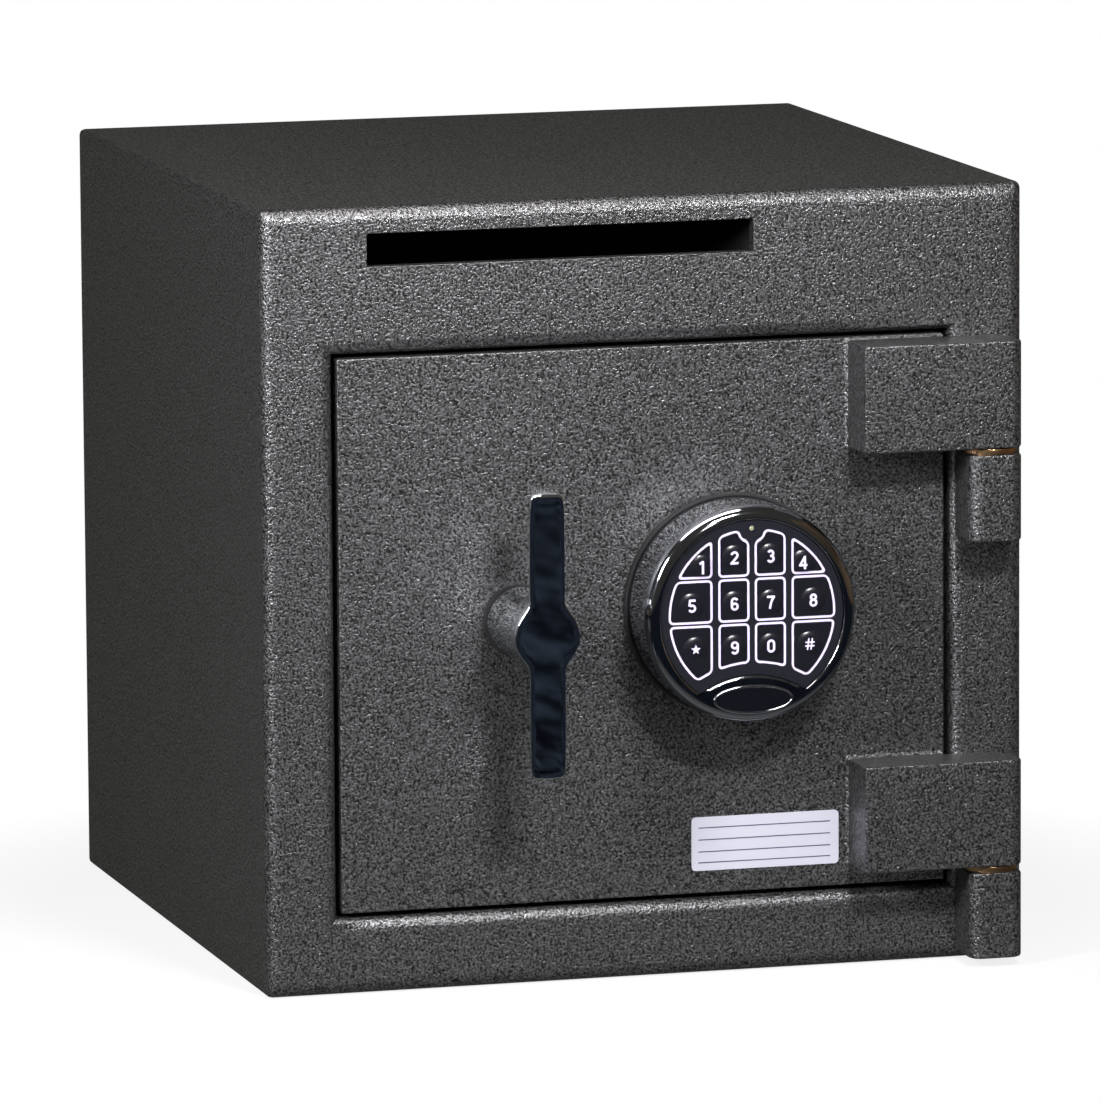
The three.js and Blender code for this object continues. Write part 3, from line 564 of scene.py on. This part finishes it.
def makeWeld(z0):
    # The paint-filled fillet where the leaf's left, top and bottom meet the door
    w, top, y0 = hinge["weld"], z0 + hinge["leafHeight"], door["y0"] - hinge["weld"]
    bead = addBox("hinge_weld_lower", hinge["leafX0"] - w, hinge["leafStep"], y0, door["y0"], z0 - w, top + w)
    for test, move in (
        (lambda p: p.y < y0 + near and p.x < hinge["leafX0"], (w, 0, 0)),
        (lambda p: p.y < y0 + near and p.z > top, (0, 0, -w)),
        (lambda p: p.y < y0 + near and p.z < z0, (0, 0, w)),
    ):
        pick(bead, "VERT", test)
        bpy.ops.transform.translate(value=Vector(move) * mm)
    roundEdges(bead, hinge["weldRound"], 4,
               lambda a, b: max(a.x, b.x) < hinge["leafX0"] + near and abs(a.y - b.y) > near)
    return bead


def makeWasher(z0):
    outer, inner, high = hinge["washerOuter"], hinge["washerInner"], hinge["washerHeight"]
    ring = lathe("thrust_washer_lower_ring", at(hinge["x"], hinge["y"], z0), "z",
                 [(inner, 0), (outer, 0), (outer, high), (inner, high), (inner, 0)])
    softenEdges(ring, hinge["washerEdge"])
    return ring


leafZ = hinge["lower"] + hinge["knuckleHeight"] + hinge["washerHeight"] + hinge["washerGap"]
lift = hinge["upper"] - hinge["lower"]
for make, z0, material, slot, body, node in (
    (makeKnuckle, hinge["lower"], hammertone, "hammered_paint", "safe_body", "hinge_knuckle"),
    (makeLeaf, leafZ, hammertone, "hammered_paint", "door", "hinge_leaf"),
    (makeWasher, hinge["lower"] + hinge["knuckleHeight"], brass, "brass", "safe_body", "thrust_washer"),
    (makeWeld, leafZ, hammertone, "hammered_paint", "door", None),
):
    lowerPiece = make(z0)
    upperPiece = copyPiece(lowerPiece, lowerPiece.name.replace("lower", "upper"), z=lift)
    for piece, side in ((lowerPiece, "lower"), (upperPiece, "upper")):
        replaced = [f"{node}_{side}"] if node else []
        finishPiece(piece, material, slot, body, *replaced)


print("handle")
handle = {
    "x": -60.3, "z": 166.3, "hubRadius": 15.5, "front": -48, "back": -33,
    "outline": ((7, 64.6), (8.7, 63), (8.7, 26), (8.7, 18.3), (8.6, 14), (12.4, 9.9), (15.7, 3.4)),
    "row": 1.1, "inset": 0.8, "taper": 0.45, "neckTop": (3.2, 16.1), "neckPull": 0.96,
    "neckRows": (-30, -17, -1.2, 0), "socket": 6.3, "socketDepth": 25, "screwHole": 2.7, "screwY": -18,
    "ringOuter": 16.5, "ringInner": 9, "ringFront": 0.3, "ringEdge": 0.3,
}
hx, hz = handle["x"], handle["z"]


def makeHandle():
    # A quarter of the outline, mirrored twice, drawn at the back of the bar and pulled forward in rows
    quarter = [Vector((x, 0, z)) for x, z in handle["outline"]]
    right = quarter + [Vector((p.x, 0, -p.z)) for p in reversed(quarter)]
    loop = right + [Vector((-p.x, 0, p.z)) for p in reversed(right)]
    casting = drawChain("t_handle_casting", [at(hx, handle["back"], hz) + p * mm for p in loop], closed=True)
    rowBack, rowFront = handle["back"] - handle["row"], handle["front"] + handle["row"]
    for y0, y1 in ((handle["back"], rowBack), (rowBack, rowFront)):
        bpy.ops.mesh.extrude_region_move(TRANSFORM_OT_translate={"value": (0, (y1 - y0) * mm, 0)})
    bpy.ops.mesh.select_all(action="SELECT")
    bpy.ops.mesh.normals_make_consistent(inside=False)
    pick(casting, "FACE", lambda c, n: c.y < rowFront + near)
    bpy.ops.mesh.inset(thickness=handle["inset"] * mm, depth=handle["row"] * mm)
    bpy.ops.mesh.inset(thickness=handle["inset"] * mm)

    # The back is parted into bar, hub and bar; the hub's part runs on as the round neck
    neckX, neckZ = handle["neckTop"]
    partZ = handle["outline"][4][1]
    for z in (partZ, -partZ):
        pick(casting, "FACE", lambda c, n: c.y > handle["back"] - near)
        bpy.ops.mesh.bisect(plane_co=at(0, 0, hz + z), plane_no=(0, 0, 1))
    for x in (neckX, -neckX):
        pick(casting, "FACE", lambda c, n: c.y > handle["back"] - near and abs(c.z - hz) < partZ)
        bpy.ops.mesh.bisect(plane_co=at(hx + x, 0, 0), plane_no=(1, 0, 0))
    for side in (-1, 1):
        pick(casting, "VERT", lambda p: abs(abs(p.x - hx) - neckX) < near
             and abs(p.z - hz - side * partZ) < near)
        bpy.ops.transform.translate(value=(0, 0, side * (neckZ - partZ) * mm))
        pick(casting, "FACE", lambda c, n: c.y > handle["back"] - near and side * (c.z - hz) > partZ)
        bpy.ops.mesh.inset(thickness=handle["inset"] * mm)
    rowY = handle["back"]
    for y in handle["neckRows"]:
        pick(casting, "FACE", lambda c, n: n.y > 0.5 and c.y > rowY - near and abs(c.z - hz) < partZ)
        bpy.ops.mesh.extrude_region_move(TRANSFORM_OT_translate={"value": (0, (y - rowY) * mm, 0)})
        if rowY == handle["back"]:
            pick(casting, "VERT", lambda p: p.y > y - near and abs(abs(p.z - hz) - partZ) < near)
            bpy.ops.transform.resize(value=[handle["neckPull"]] * 3, center_override=at(hx, y, hz))
        rowY = y
    # The bar's back is drawn in, so it tapers behind its flat front
    pick(casting, "VERT", lambda p: handle["back"] - 2 * handle["row"] < p.y < handle["back"] + near
         and abs(p.z - hz) > partZ + near and abs(p.x - hx) > neckX + near)
    bpy.ops.transform.resize(value=(handle["taper"], 1, 1), center_override=at(hx, 0, hz))
    applyModifier(casting, "SUBSURF", levels=3, render_levels=3)
    combine(casting, lathedRod("socket", at(hx, 0, hz), "y", handle["socket"], -handle["socketDepth"], 1, 48))
    combine(casting, lathedRod("screwWay", at(hx, handle["screwY"], hz), "z", handle["screwHole"],
                               -handle["hubRadius"] - 2, 0, 32))
    return casting


finishPiece(makeHandle(), chrome, "chrome", "handle", "t_handle", crease=50)
ringInner, ringOuter, ringFront = handle["ringInner"], handle["ringOuter"], handle["ringFront"]
footRing = lathe("handle_foot_ring", at(hx, 0, hz), "y", [
    (ringInner, ringFront), (ringOuter, ringFront), (ringOuter, door["y0"]),
    (ringInner, door["y0"]), (ringInner, ringFront),
])
softenEdges(footRing, handle["ringEdge"])
finishPiece(footRing, blackRubber, "black_rubber", "handle", "handle_ring")


print("keypad")
keypad = {
    "x": 39.3, "z": 169.3, "radius": 49.3, "front": -33, "shoulder": 5.4, "wall": 2.5, "taper": 4,
    "faceRadius": 42.6, "faceY": -31.8, "faceSheet": 2, "ledge": 40.5, "fit": 0.3, "arcZ": -71.2,
    "arcKeys": 49, "arcCrescent": 43.5, "arcLedge": 45, "lip": 1.0, "crescentEdge": 1.3, "crescentEnd": 2.5,
    "through": (-40, -20), "gasket": 50.6, "collar": 1.8, "gasketEdge": 0.4, "doorHalf": 25.5,
    "doorY0": -21, "doorY1": -2, "doorEdge": 0.3, "ledZ": 38.9, "ledRadius": 1.2, "ledClear": 6,
    "steps": 128, "chordSlack": 0.12,
}
kx, kz, fine = keypad["x"], keypad["z"], keypad["steps"]
faceY, through = keypad["faceY"], keypad["through"]
seat = faceY + keypad["faceSheet"] + keypad["fit"]
keypadCentre, arcCentre, ledCentre = [at(kx, 0, kz + z) for z in (0, keypad["arcZ"], keypad["ledZ"])]


def faceRecess(radius, reach, arcRadius):
    # The round hole behind the face, short of the crescent at its foot
    hole = lathedRod("recess", keypadCentre, "y", radius, keypad["front"] - 2, reach, fine)
    # Turned by half a step, so no edge of the cut lies on an edge of the shell
    bpy.ops.transform.rotate(value=math.pi / fine, orient_axis="Y", center_override=keypadCentre)
    return combine(hole, lathedRod("arc", arcCentre, "y", arcRadius, keypad["front"] - 3, reach + 1, fine))


def onCircle(place, x, z, radius):
    # On the housing's front and on a circle, as nearly as its chords and cuts follow it
    stray = abs(math.hypot(place.x - x, place.z - z) - radius)
    return abs(place.y - keypad["front"]) < near and stray < keypad["chordSlack"]


def onLip(a, b):
    return all(onCircle(p, kx, kz, keypad["faceRadius"] + keypad["fit"]) for p in (a, b))


def onCrescent(a, b):
    # The crescent's upper edge, up to a little before it meets the lip
    reach = keypad["faceRadius"] + keypad["fit"] - keypad["crescentEnd"]
    inside = all(math.hypot(p.x - kx, p.z - kz) < reach for p in (a, b))
    return inside and all(onCircle(p, kx, kz + keypad["arcZ"], keypad["arcCrescent"]) for p in (a, b))


def makeHousing():
    radius, front, shoulder, ledge = keypad["radius"], keypad["front"], keypad["shoulder"], keypad["ledge"]
    inner, back, rows = radius - keypad["wall"], seat + 1, 12
    turns = [i / rows * math.pi / 2 for i in range(rows + 1)]
    bend = [(radius - shoulder * (1 - math.sin(t)), front + shoulder * (1 - math.cos(t))) for t in turns]
    shell = lathe("keypad_shell", keypadCentre, "y", [
        (0, front), *bend, (radius, 0), (inner, 0), (inner, seat + keypad["wall"] + keypad["taper"]),
        (ledge, seat + keypad["wall"]), (ledge, back), (0, back),
    ], fine)
    combine(shell, addBox("doorCut", kx - keypad["doorHalf"], kx + keypad["doorHalf"], keypad["doorY0"],
                          keypad["doorY1"], kz - radius - 1, kz - ledge / 2))
    combine(shell, faceRecess(keypad["faceRadius"] + keypad["fit"], seat, keypad["arcCrescent"]))
    combine(shell, faceRecess(ledge, back + 1, keypad["arcLedge"]))
    roundEdges(shell, keypad["lip"], 4, onLip, bend=30)
    roundEdges(shell, keypad["crescentEdge"], 4, onCrescent, bend=30)
    return shell


def makeBatteryDoor():
    radius, wall, fit = keypad["radius"], keypad["wall"], keypad["fit"]
    y0, y1 = keypad["doorY0"] + fit, keypad["doorY1"] - fit
    cover = lathe("battery_cover", keypadCentre, "y", [
        (radius - wall, y0), (radius, y0), (radius, y1), (radius - wall, y1), (radius - wall, y0),
    ], fine)
    halfWidth = keypad["doorHalf"] - fit
    combine(cover, addBox("span", kx - halfWidth, kx + halfWidth, y0 - 1, y1 + 1, kz - radius - 1,
                          kz - keypad["ledge"] / 2), "INTERSECT")
    softenEdges(cover, keypad["doorEdge"])
    return cover


finishPiece(makeHousing(), darkChrome, "dark_chrome", "door", "keypad_housing")
finishPiece(makeBatteryDoor(), darkChrome, "dark_chrome", "battery_door", "battery_door")
foot, footInner, collarY = keypad["radius"], keypad["radius"] - keypad["wall"], -keypad["collar"]
gasket = lathe("keypad_gasket_ring", keypadCentre, "y", [
    (footInner, 0), (foot, 0), (foot, collarY), (keypad["gasket"], collarY), (keypad["gasket"], door["y0"]),
    (footInner, door["y0"]), (footInner, 0),
])
softenEdges(gasket, keypad["gasketEdge"])
finishPiece(gasket, blackRubber, "black_rubber", "door", "keypad_gasket")

keys = {
    "names": (("1", "2", "3", "4"), ("5", "6", "7", "8"), ("star", "9", "0", "hash")),
    "columns": (1.25, 15.8, 18.5, 40), "rows": (40, 16.8, -3.6, -45), "gap": 0.8, "round": 39,
    "corner": 2.2, "crowding": 0.3, "outline": 1.0, "play": 0.3, "y0": -32, "y1": -28.2, "edge": 0.25,
    "ink": 0.08, "bite": 0.05, "domeRadius": 5.9, "domeHeight": 1.0, "stroke": 1.05, "hashStroke": 0.65,
    "starRadius": 2.3, "starWaist": 0.45, "markLift": 4, "markDepth": 1, "markGrid": 0.8, "markShift": 0.37,
    "markReach": 3.1, "markGap": 0.03, "markSheet": 0.06,
    "innerDomes": ((8.5, 26.1), (8.5, 5.2), (8.5, -14.7)),
    "outerDomes": ((23.7, 22.4), (28.4, 5.2), (26.7, -14.7)),
}


def makeCell(name, side, outer, row, inset, y0, y1):
    # A block on a key's part of the grid, drawn in by the inset, and cut by the face, arc and lamp
    x0, x1 = keys["columns"][2 * outer:2 * outer + 2]
    if side < 0:
        x0, x1 = -x1, -x0
    z1, z0 = keys["rows"][row] - keys["gap"] / 2, keys["rows"][row + 1] + keys["gap"] / 2
    cell = addBox(name, kx + x0 + inset, kx + x1 - inset, y0, y1, kz + z0 + inset, kz + z1 - inset)
    faceRound = lathedRod("round", keypadCentre, "y", keys["round"] - inset, y0 - 1, y1 + 1, 96)
    combine(cell, faceRound, "INTERSECT")
    combine(cell, lathedRod("arc", arcCentre, "y", keypad["arcKeys"] + inset, y0 - 1, y1 + 1, fine))
    if row == 0:
        combine(cell, lathedRod("lampRing", ledCentre, "y", keypad["ledClear"] + inset, y0 - 1, y1 + 1, 32))
    radius = keys["corner"] - inset
    pick(cell, "EDGE", lambda a, b: abs(a.y - b.y) > near, bend=25)
    corners = [toMm(e.verts[0].co) for e in bmesh.from_edit_mesh(cell.data).edges if e.select]

    # Upright edges that would crowd a corner's rounding go first
    def crowds(a, b):
        reach = min(math.hypot(a.x - c.x, a.z - c.z) for c in corners)
        return abs(a.y - b.y) > near and near < reach < radius + keys["crowding"]

    pick(cell, "EDGE", crowds)
    bpy.ops.mesh.dissolve_edges()
    roundEdges(cell, radius, 5, lambda a, b: abs(a.y - b.y) > near, bend=25)
    return cell


def makeDome(x, z):
    # A flat-topped blister that turns down ever more steeply towards its rim
    radius, high, y0, rows = keys["domeRadius"], keys["domeHeight"], keys["y0"], 14
    profile = [(i / rows * radius, y0 - high * (1 - (i / rows) ** 4)) for i in range(rows + 1)]
    return lathe("dome", at(kx + x, 0, kz + z), "y", profile + [(radius, y0 + 1), (0, y0 + 1)], 64)


def arc(x, z, radius, turn0, turn1, steps=14):
    turns = [math.radians(turn0 + (turn1 - turn0) * i / steps) for i in range(steps + 1)]
    return [(x + radius * math.cos(t), z + radius * math.sin(t)) for t in turns]


# Centre lines of the figures in millimetres, 6 mm high once they are given their width
nine = [arc(0, 1.15, 1.33, 0, 360, 24), arc(0, -1.15, 1.33, -155, 0, 12) + [(1.33, 1.15)]]
figures = {
    "0": [arc(0, 1.12, 1.35, 0, 180) + arc(0, -1.12, 1.35, 180, 360) + [(1.35, 1.12)]],
    "1": [[(0.45, -3), (0.45, 3)], [(-1.15, 1.75), (-0.4, 2.0), (0.45, 2.65)]],
    "2": [arc(0, 1.12, 1.36, 170, -32) + [(-1.35, -2.4)], [(-1.9, -2.47), (1.9, -2.47)]],
    "3": [arc(-0.1, 1.27, 1.2, 155, -100), arc(-0.1, -1.15, 1.33, 100, -155)],
    "4": [[(0.75, -3), (0.75, 3)], [(-1.95, -1.15), (1.9, -1.15)], [(-1.5, -1.1), (0.7, 2.55)]],
    "5": [[(-1.1, 2.47), (1.65, 2.47)], [(-0.95, 2.9), (-1.25, -0.1)], arc(0, -1.1, 1.38, 138, -155)],
    "6": [[(-x, -z) for x, z in line] for line in nine],
    "7": [[(-1.85, 2.47), (1.85, 2.47)], [(1.35, 2.4), (0.45, 0.9), (-0.2, -0.9), (-0.5, -3)]],
    "8": [arc(0, 1.33, 1.14, 0, 360, 24), arc(0, -1.15, 1.33, 0, 360, 24)],
    "9": nine,
    "hash": [[(-1.15, -2.6), (-0.45, 2.6)], [(0.45, -2.6), (1.15, 2.6)], [(-2.1, 0.85), (2.2, 0.85)],
             [(-2.2, -0.85), (2.1, -0.85)]],
}


def makeStroke(points, x, z, width):
    # A centre line pulled into a ribbon along y and given its width
    startY = keys["y0"] - keys["markLift"]
    stroke = drawChain("stroke", [at(x + px, startY, z + pz) for px, pz in points])
    bpy.ops.mesh.remove_doubles(threshold=0.01 * mm)
    bpy.ops.mesh.select_all(action="SELECT")
    bpy.ops.mesh.extrude_region_move(TRANSFORM_OT_translate={"value": (0, keys["markDepth"] * mm, 0)})
    bpy.ops.mesh.select_all(action="SELECT")
    bpy.ops.mesh.normals_make_consistent(inside=False)
    applyModifier(stroke, "SOLIDIFY", thickness=width * mm, offset=0, use_even_offset=True)
    return stroke


def makeMark(name, under, x, z):
    # The star is a ten-sided disc with every other corner drawn in; the rest are joined strokes
    if name == "star":
        choose()
        bpy.ops.mesh.primitive_cylinder_add(
            vertices=10, radius=keys["starRadius"] * mm, depth=keys["markDepth"] * mm,
            rotation=(math.pi / 2, 0, 0),
            location=at(x, keys["y0"] - keys["markLift"] + keys["markDepth"] / 2, z),
        )
        mark = settle("mark")
        pick(mark, "VERT", lambda p: round(math.degrees(math.atan2(p.z - z, p.x - x)) - 54) % 72 == 0)
        waist = keys["starWaist"]
        bpy.ops.transform.resize(value=(waist, 1, waist), center_override=at(x, 0, z))
    else:
        width = keys["hashStroke"] if name == "hash" else keys["stroke"]
        mark, *others = [makeStroke(line, x, z, width) for line in figures[name]]
        for other in others:
            combine(mark, other, "UNION")
    choose(mark)
    mark = settle(f"key_{name}_mark")
    pick(mark, "FACE", lambda c, n: n.y > -0.9)
    bpy.ops.mesh.delete(type="FACE")
    # A grid of cuts lets the flat figure bend over the dome
    steps = math.ceil(keys["markReach"] / keys["markGrid"])
    for i in range(-steps, steps + 1):
        offset = (i + keys["markShift"]) * keys["markGrid"]
        for normal in ((1, 0, 0), (0, 0, 1)):
            pick(mark, "FACE", lambda c, n: True)
            bpy.ops.mesh.bisect(plane_co=at(x + offset, 0, z + offset), plane_no=normal)
    applyModifier(mark, "SHRINKWRAP", target=under, wrap_method="PROJECT", use_project_y=True,
                  use_positive_direction=True, use_negative_direction=False, offset=keys["markGap"] * mm)
    applyModifier(mark, "SOLIDIFY", thickness=keys["markSheet"] * mm, offset=0)
    pick(mark, "FACE", lambda c, n: True)
    bpy.ops.mesh.normals_make_consistent(inside=False)
    choose(mark)
    return mark


faceplate = lathedRod("keypad_face", keypadCentre, "y", keypad["faceRadius"], faceY,
                      faceY + keypad["faceSheet"], fine)
combine(faceplate, lathedRod("arc", arcCentre, "y", keypad["arcCrescent"] + keypad["fit"], *through, fine))
combine(faceplate, lathedRod("lampHole", ledCentre, "y", keypad["ledRadius"] + keypad["fit"], *through, 32))
outlines = []
for row, names in enumerate(keys["names"]):
    for column, name in enumerate(names):
        side, outer = (-1 if column < 2 else 1), column in (0, 3)
        domeX, domeZ = keys["outerDomes" if outer else "innerDomes"][row]
        line, cap, bite = keys["outline"], keys["outline"] + keys["play"], keys["bite"]
        outline = makeCell("outline", side, outer, row, 0, faceY - keys["ink"], faceY + bite)
        outlines.append(combine(outline, makeCell("hole", side, outer, row, line, faceY - 1, faceY + 1)))
        combine(faceplate, makeCell("hole", side, outer, row, line, faceY - 1, faceY + 4))
        key = makeCell(f"key_{name}_cap", side, outer, row, cap, keys["y0"], keys["y1"])
        raised = makeCell("raised", side, outer, row, cap + bite, keys["y0"] - 1, keys["y1"] - 1)
        combine(key, combine(makeDome(side * domeX, domeZ), raised, "INTERSECT"), "UNION")
        mark = makeMark(name, key, kx + side * domeX, kz + domeZ)
        softenEdges(key, keys["edge"], 2, 40)
        finishPiece(key, keyPlastic, "dark_plastic", f"key_{name}", f"key_{name}")
        finishPiece(mark, outlineInk, "label_foil", f"key_{name}")
finishPiece(faceplate, keypadPlastic, "dark_plastic", "door", "keypad_faceplate")
choose(*outlines)
bpy.ops.object.join()
finishPiece(settle("keypad_outlines"), outlineInk, "label_foil", "door")

ledRadius = keypad["ledRadius"]
ledBead = lathe("keypad_lamp_bead", ledCentre, "y", [
    (0, faceY - 0.4), (ledRadius * 0.5, faceY - 0.32), (ledRadius * 0.85, faceY - 0.1),
    (ledRadius, faceY + 0.3), (ledRadius, faceY + 2), (0, faceY + 2),
], 32)
finishPiece(ledBead, lampLens, "lamp_lens", "door", "keypad_lamp", crease=60)

badge = {
    "z": -38.4, "halfWidth": 18.6, "halfHeight": 6.5, "rim": 1.0, "sheet": 0.8, "rimProud": 0.4,
    "fit": 0.1, "edge": 0.3, "rimEdge": 0.35,
}


def makeOval(name, inset, y0, y1):
    choose()
    bpy.ops.mesh.primitive_cylinder_add(
        vertices=96, radius=1, depth=(y1 - y0) * mm, rotation=(math.pi / 2, 0, 0),
        location=at(kx, (y0 + y1) / 2, kz + badge["z"]),
    )
    bpy.context.object.scale = ((badge["halfWidth"] - inset) * mm, (badge["halfHeight"] - inset) * mm, 1)
    return settle(name)


plaqueY = keypad["front"] - badge["sheet"]
plaque = makeOval("keypad_badge_oval", badge["fit"], plaqueY, keypad["front"])
softenEdges(plaque, badge["edge"])
finishPiece(plaque, badgePlastic, "badge_plastic", "door", "keypad_badge")
rim = makeOval("keypad_badge_rim", 0, plaqueY - badge["rimProud"], keypad["front"])
combine(rim, makeOval("rimHole", badge["rim"], *through))
softenEdges(rim, badge["rimEdge"], 3)
finishPiece(rim, chrome, "dark_chrome", "door")


print("label")
label = {
    "x0": 20.3, "x1": 90, "z0": 47.3, "z1": 72, "corner": 2, "sheet": 0.3, "edge": 0.08,
    "lineX0": 23.5, "lineX1": 86, "lineZ": (67, 61.5, 56, 51), "lineHeight": 0.5, "ink": 0.05,
}
labelY = door["y0"] - label["sheet"]
sticker = addBox("door_label", label["x0"], label["x1"], labelY, door["y0"], label["z0"], label["z1"])
roundEdges(sticker, label["corner"], 6, lambda a, b: abs(a.y - b.y) > near)
softenEdges(sticker, label["edge"])
finishPiece(sticker, labelFilm, "label_foil", "door", "data_label")
rules = []
for z in label["lineZ"]:
    z0, z1 = z - label["lineHeight"] / 2, z + label["lineHeight"] / 2
    rules.append(addBox("rule", label["lineX0"], label["lineX1"], labelY - label["ink"],
                        labelY + label["ink"], z0, z1))
choose(*rules)
bpy.ops.object.join()
finishPiece(settle("door_label_rules"), labelInk, "label_foil", "door")


print("inside")


def softCopy(node, name, width, material, slot):
    # A carried-over shape with its sheet edges eased: the loose triangles are merged into plates first
    obj = bpy.data.objects.new(name, frame["nodes"][node].data.copy())
    bpy.context.scene.collection.objects.link(obj)
    pick(obj, "VERT", lambda p: True)
    bpy.ops.mesh.remove_doubles(threshold=0.01 * mm)
    bpy.ops.mesh.select_all(action="SELECT")
    bpy.ops.mesh.dissolve_limited(angle_limit=math.radians(1))
    softenEdges(obj, width)
    finishPiece(obj, material, slot, frame["nodes"][node]["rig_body"], node)


# The chute and comb take the near-black painted shade of the slot; the rest keep their own finishes
for node, name, width, material, slot in (
    ("deposit_chute", "chute_sheet", 0.5, slotShadeBlack, "hammered_paint"),
    ("anti_fish_comb", "comb_sheet", 0.4, slotShadeBlack, "hammered_paint"),
    ("dead_bar", "dead_bar_steel", 0.8, hammertone, "hammered_paint"),
    ("bolt_guide", "bolt_guide_angle", 0.6, hammertone, "hammered_paint"),
    ("door_cover", "door_cover_tray", 0.5, hammertone, "hammered_paint"),
    ("bolt_carrier", "bolt_carrier_plate", 0.5, zincSteel, "zinc_steel"),
    ("lock_case", "lock_case_casting", 0.6, castZinc, "cast_zinc"),
    ("lock_cover", "lock_cover_plate", 0.6, castZinc, "cast_zinc"),
    ("lock_bolt", "lock_bolt_bar", 0.6, brass, "brass"),
):
    softCopy(node, name, width, material, slot)


def finishRow(first, stem, ending, moves, material, slot, body):
    # A piece and its copies, numbered from 1, each standing in for the node of its own number
    pieces = [first]
    for i, (x, z) in enumerate(moves, 2):
        pieces.append(copyPiece(first, f"{stem}_{i}_{ending}", x=x, z=z))
    for i, piece in enumerate(pieces, 1):
        finishPiece(piece, material, slot, body, f"{stem}_{i}")


bolts = {"radius": 9.5, "x0": -138, "x1": -92, "y": 31, "levels": (91, 166.3, 241), "nose": 1.6}
lowest, *higher = bolts["levels"]
rod = lathedRod("locking_bolt_1_rod", at(0, bolts["y"], lowest), "x", bolts["radius"], bolts["x0"],
                bolts["x1"])
softenEdges(rod, bolts["nose"], 4)
finishRow(rod, "locking_bolt", "rod", [(0, level - lowest) for level in higher], chrome, "chrome", "bolts")

plug = {"y": 237.8, "shank": 6.2, "lead": 1, "z0": 1.5, "head": 11, "high": 2, "headEdge": 1.2}
headZ, edge = plate + plug["high"], plug["headEdge"]
stopper = lathe("anchor_plug_moulding", at(0, plug["y"], 0), "z", [
    (0, plug["z0"]), (plug["shank"] - plug["lead"], plug["z0"]), (plug["shank"], plug["z0"] + plug["lead"]),
    (plug["shank"], plate), (plug["head"], plate), (plug["head"], plate + edge),
    (plug["head"] - edge, headZ), (0, headZ),
], 64)
finishPiece(stopper, blackRubber, "black_rubber", "safe_body", "anchor_hole_plug")

screw = {
    "head": 4.2, "high": 2.2, "shank": 2.2, "seat": 15.7, "y0": 7,
    "cross": 1.1, "crossReach": 2.3, "crossDepth": 1.2,
}


def makeScrew(x, z):
    # A pan head with a cross recess, over a shank whose end is drawn in
    head, shank, y0, seatY = screw["head"], screw["shank"], screw["y0"], screw["seat"]
    topY = seatY + screw["high"]
    pan = lathe("cover_screw_1_pan", at(x, 0, z), "y", [
        (0, y0), (shank - 0.5, y0), (shank, y0 + 0.6), (shank, seatY), (head, seatY), (head, topY - 1),
        (head * 0.82, topY - 0.35), (head * 0.4, topY - 0.05), (0, topY),
    ], 48)
    crossY, reach, halfCross = topY - screw["crossDepth"], screw["crossReach"], screw["cross"] / 2
    for wide, tall in ((reach, halfCross), (halfCross, reach)):
        combine(pan, addBox("cross", x - wide, x + wide, crossY, topY + 1, z - tall, z + tall))
    return pan


(firstX, firstZ), *restPlaces = screwPlaces
screwMoves = [(x - firstX, z - firstZ) for x, z in restPlaces]
finishRow(makeScrew(firstX, firstZ), "cover_screw", "pan", screwMoves, zincSteel, "zinc_steel", "door")


print("finishes for the frame's own pieces")
finishCad = {
    "lock_cable": blackRubber, "keypad_base": keypadPlastic, "keypad_board": boardMask, "battery": batteryTin,
}
for node, obj in frame["nodes"].items():
    obj.data.materials.clear()
    obj.data.materials.append(finishCad.get(node, zincSteel))

print("done")
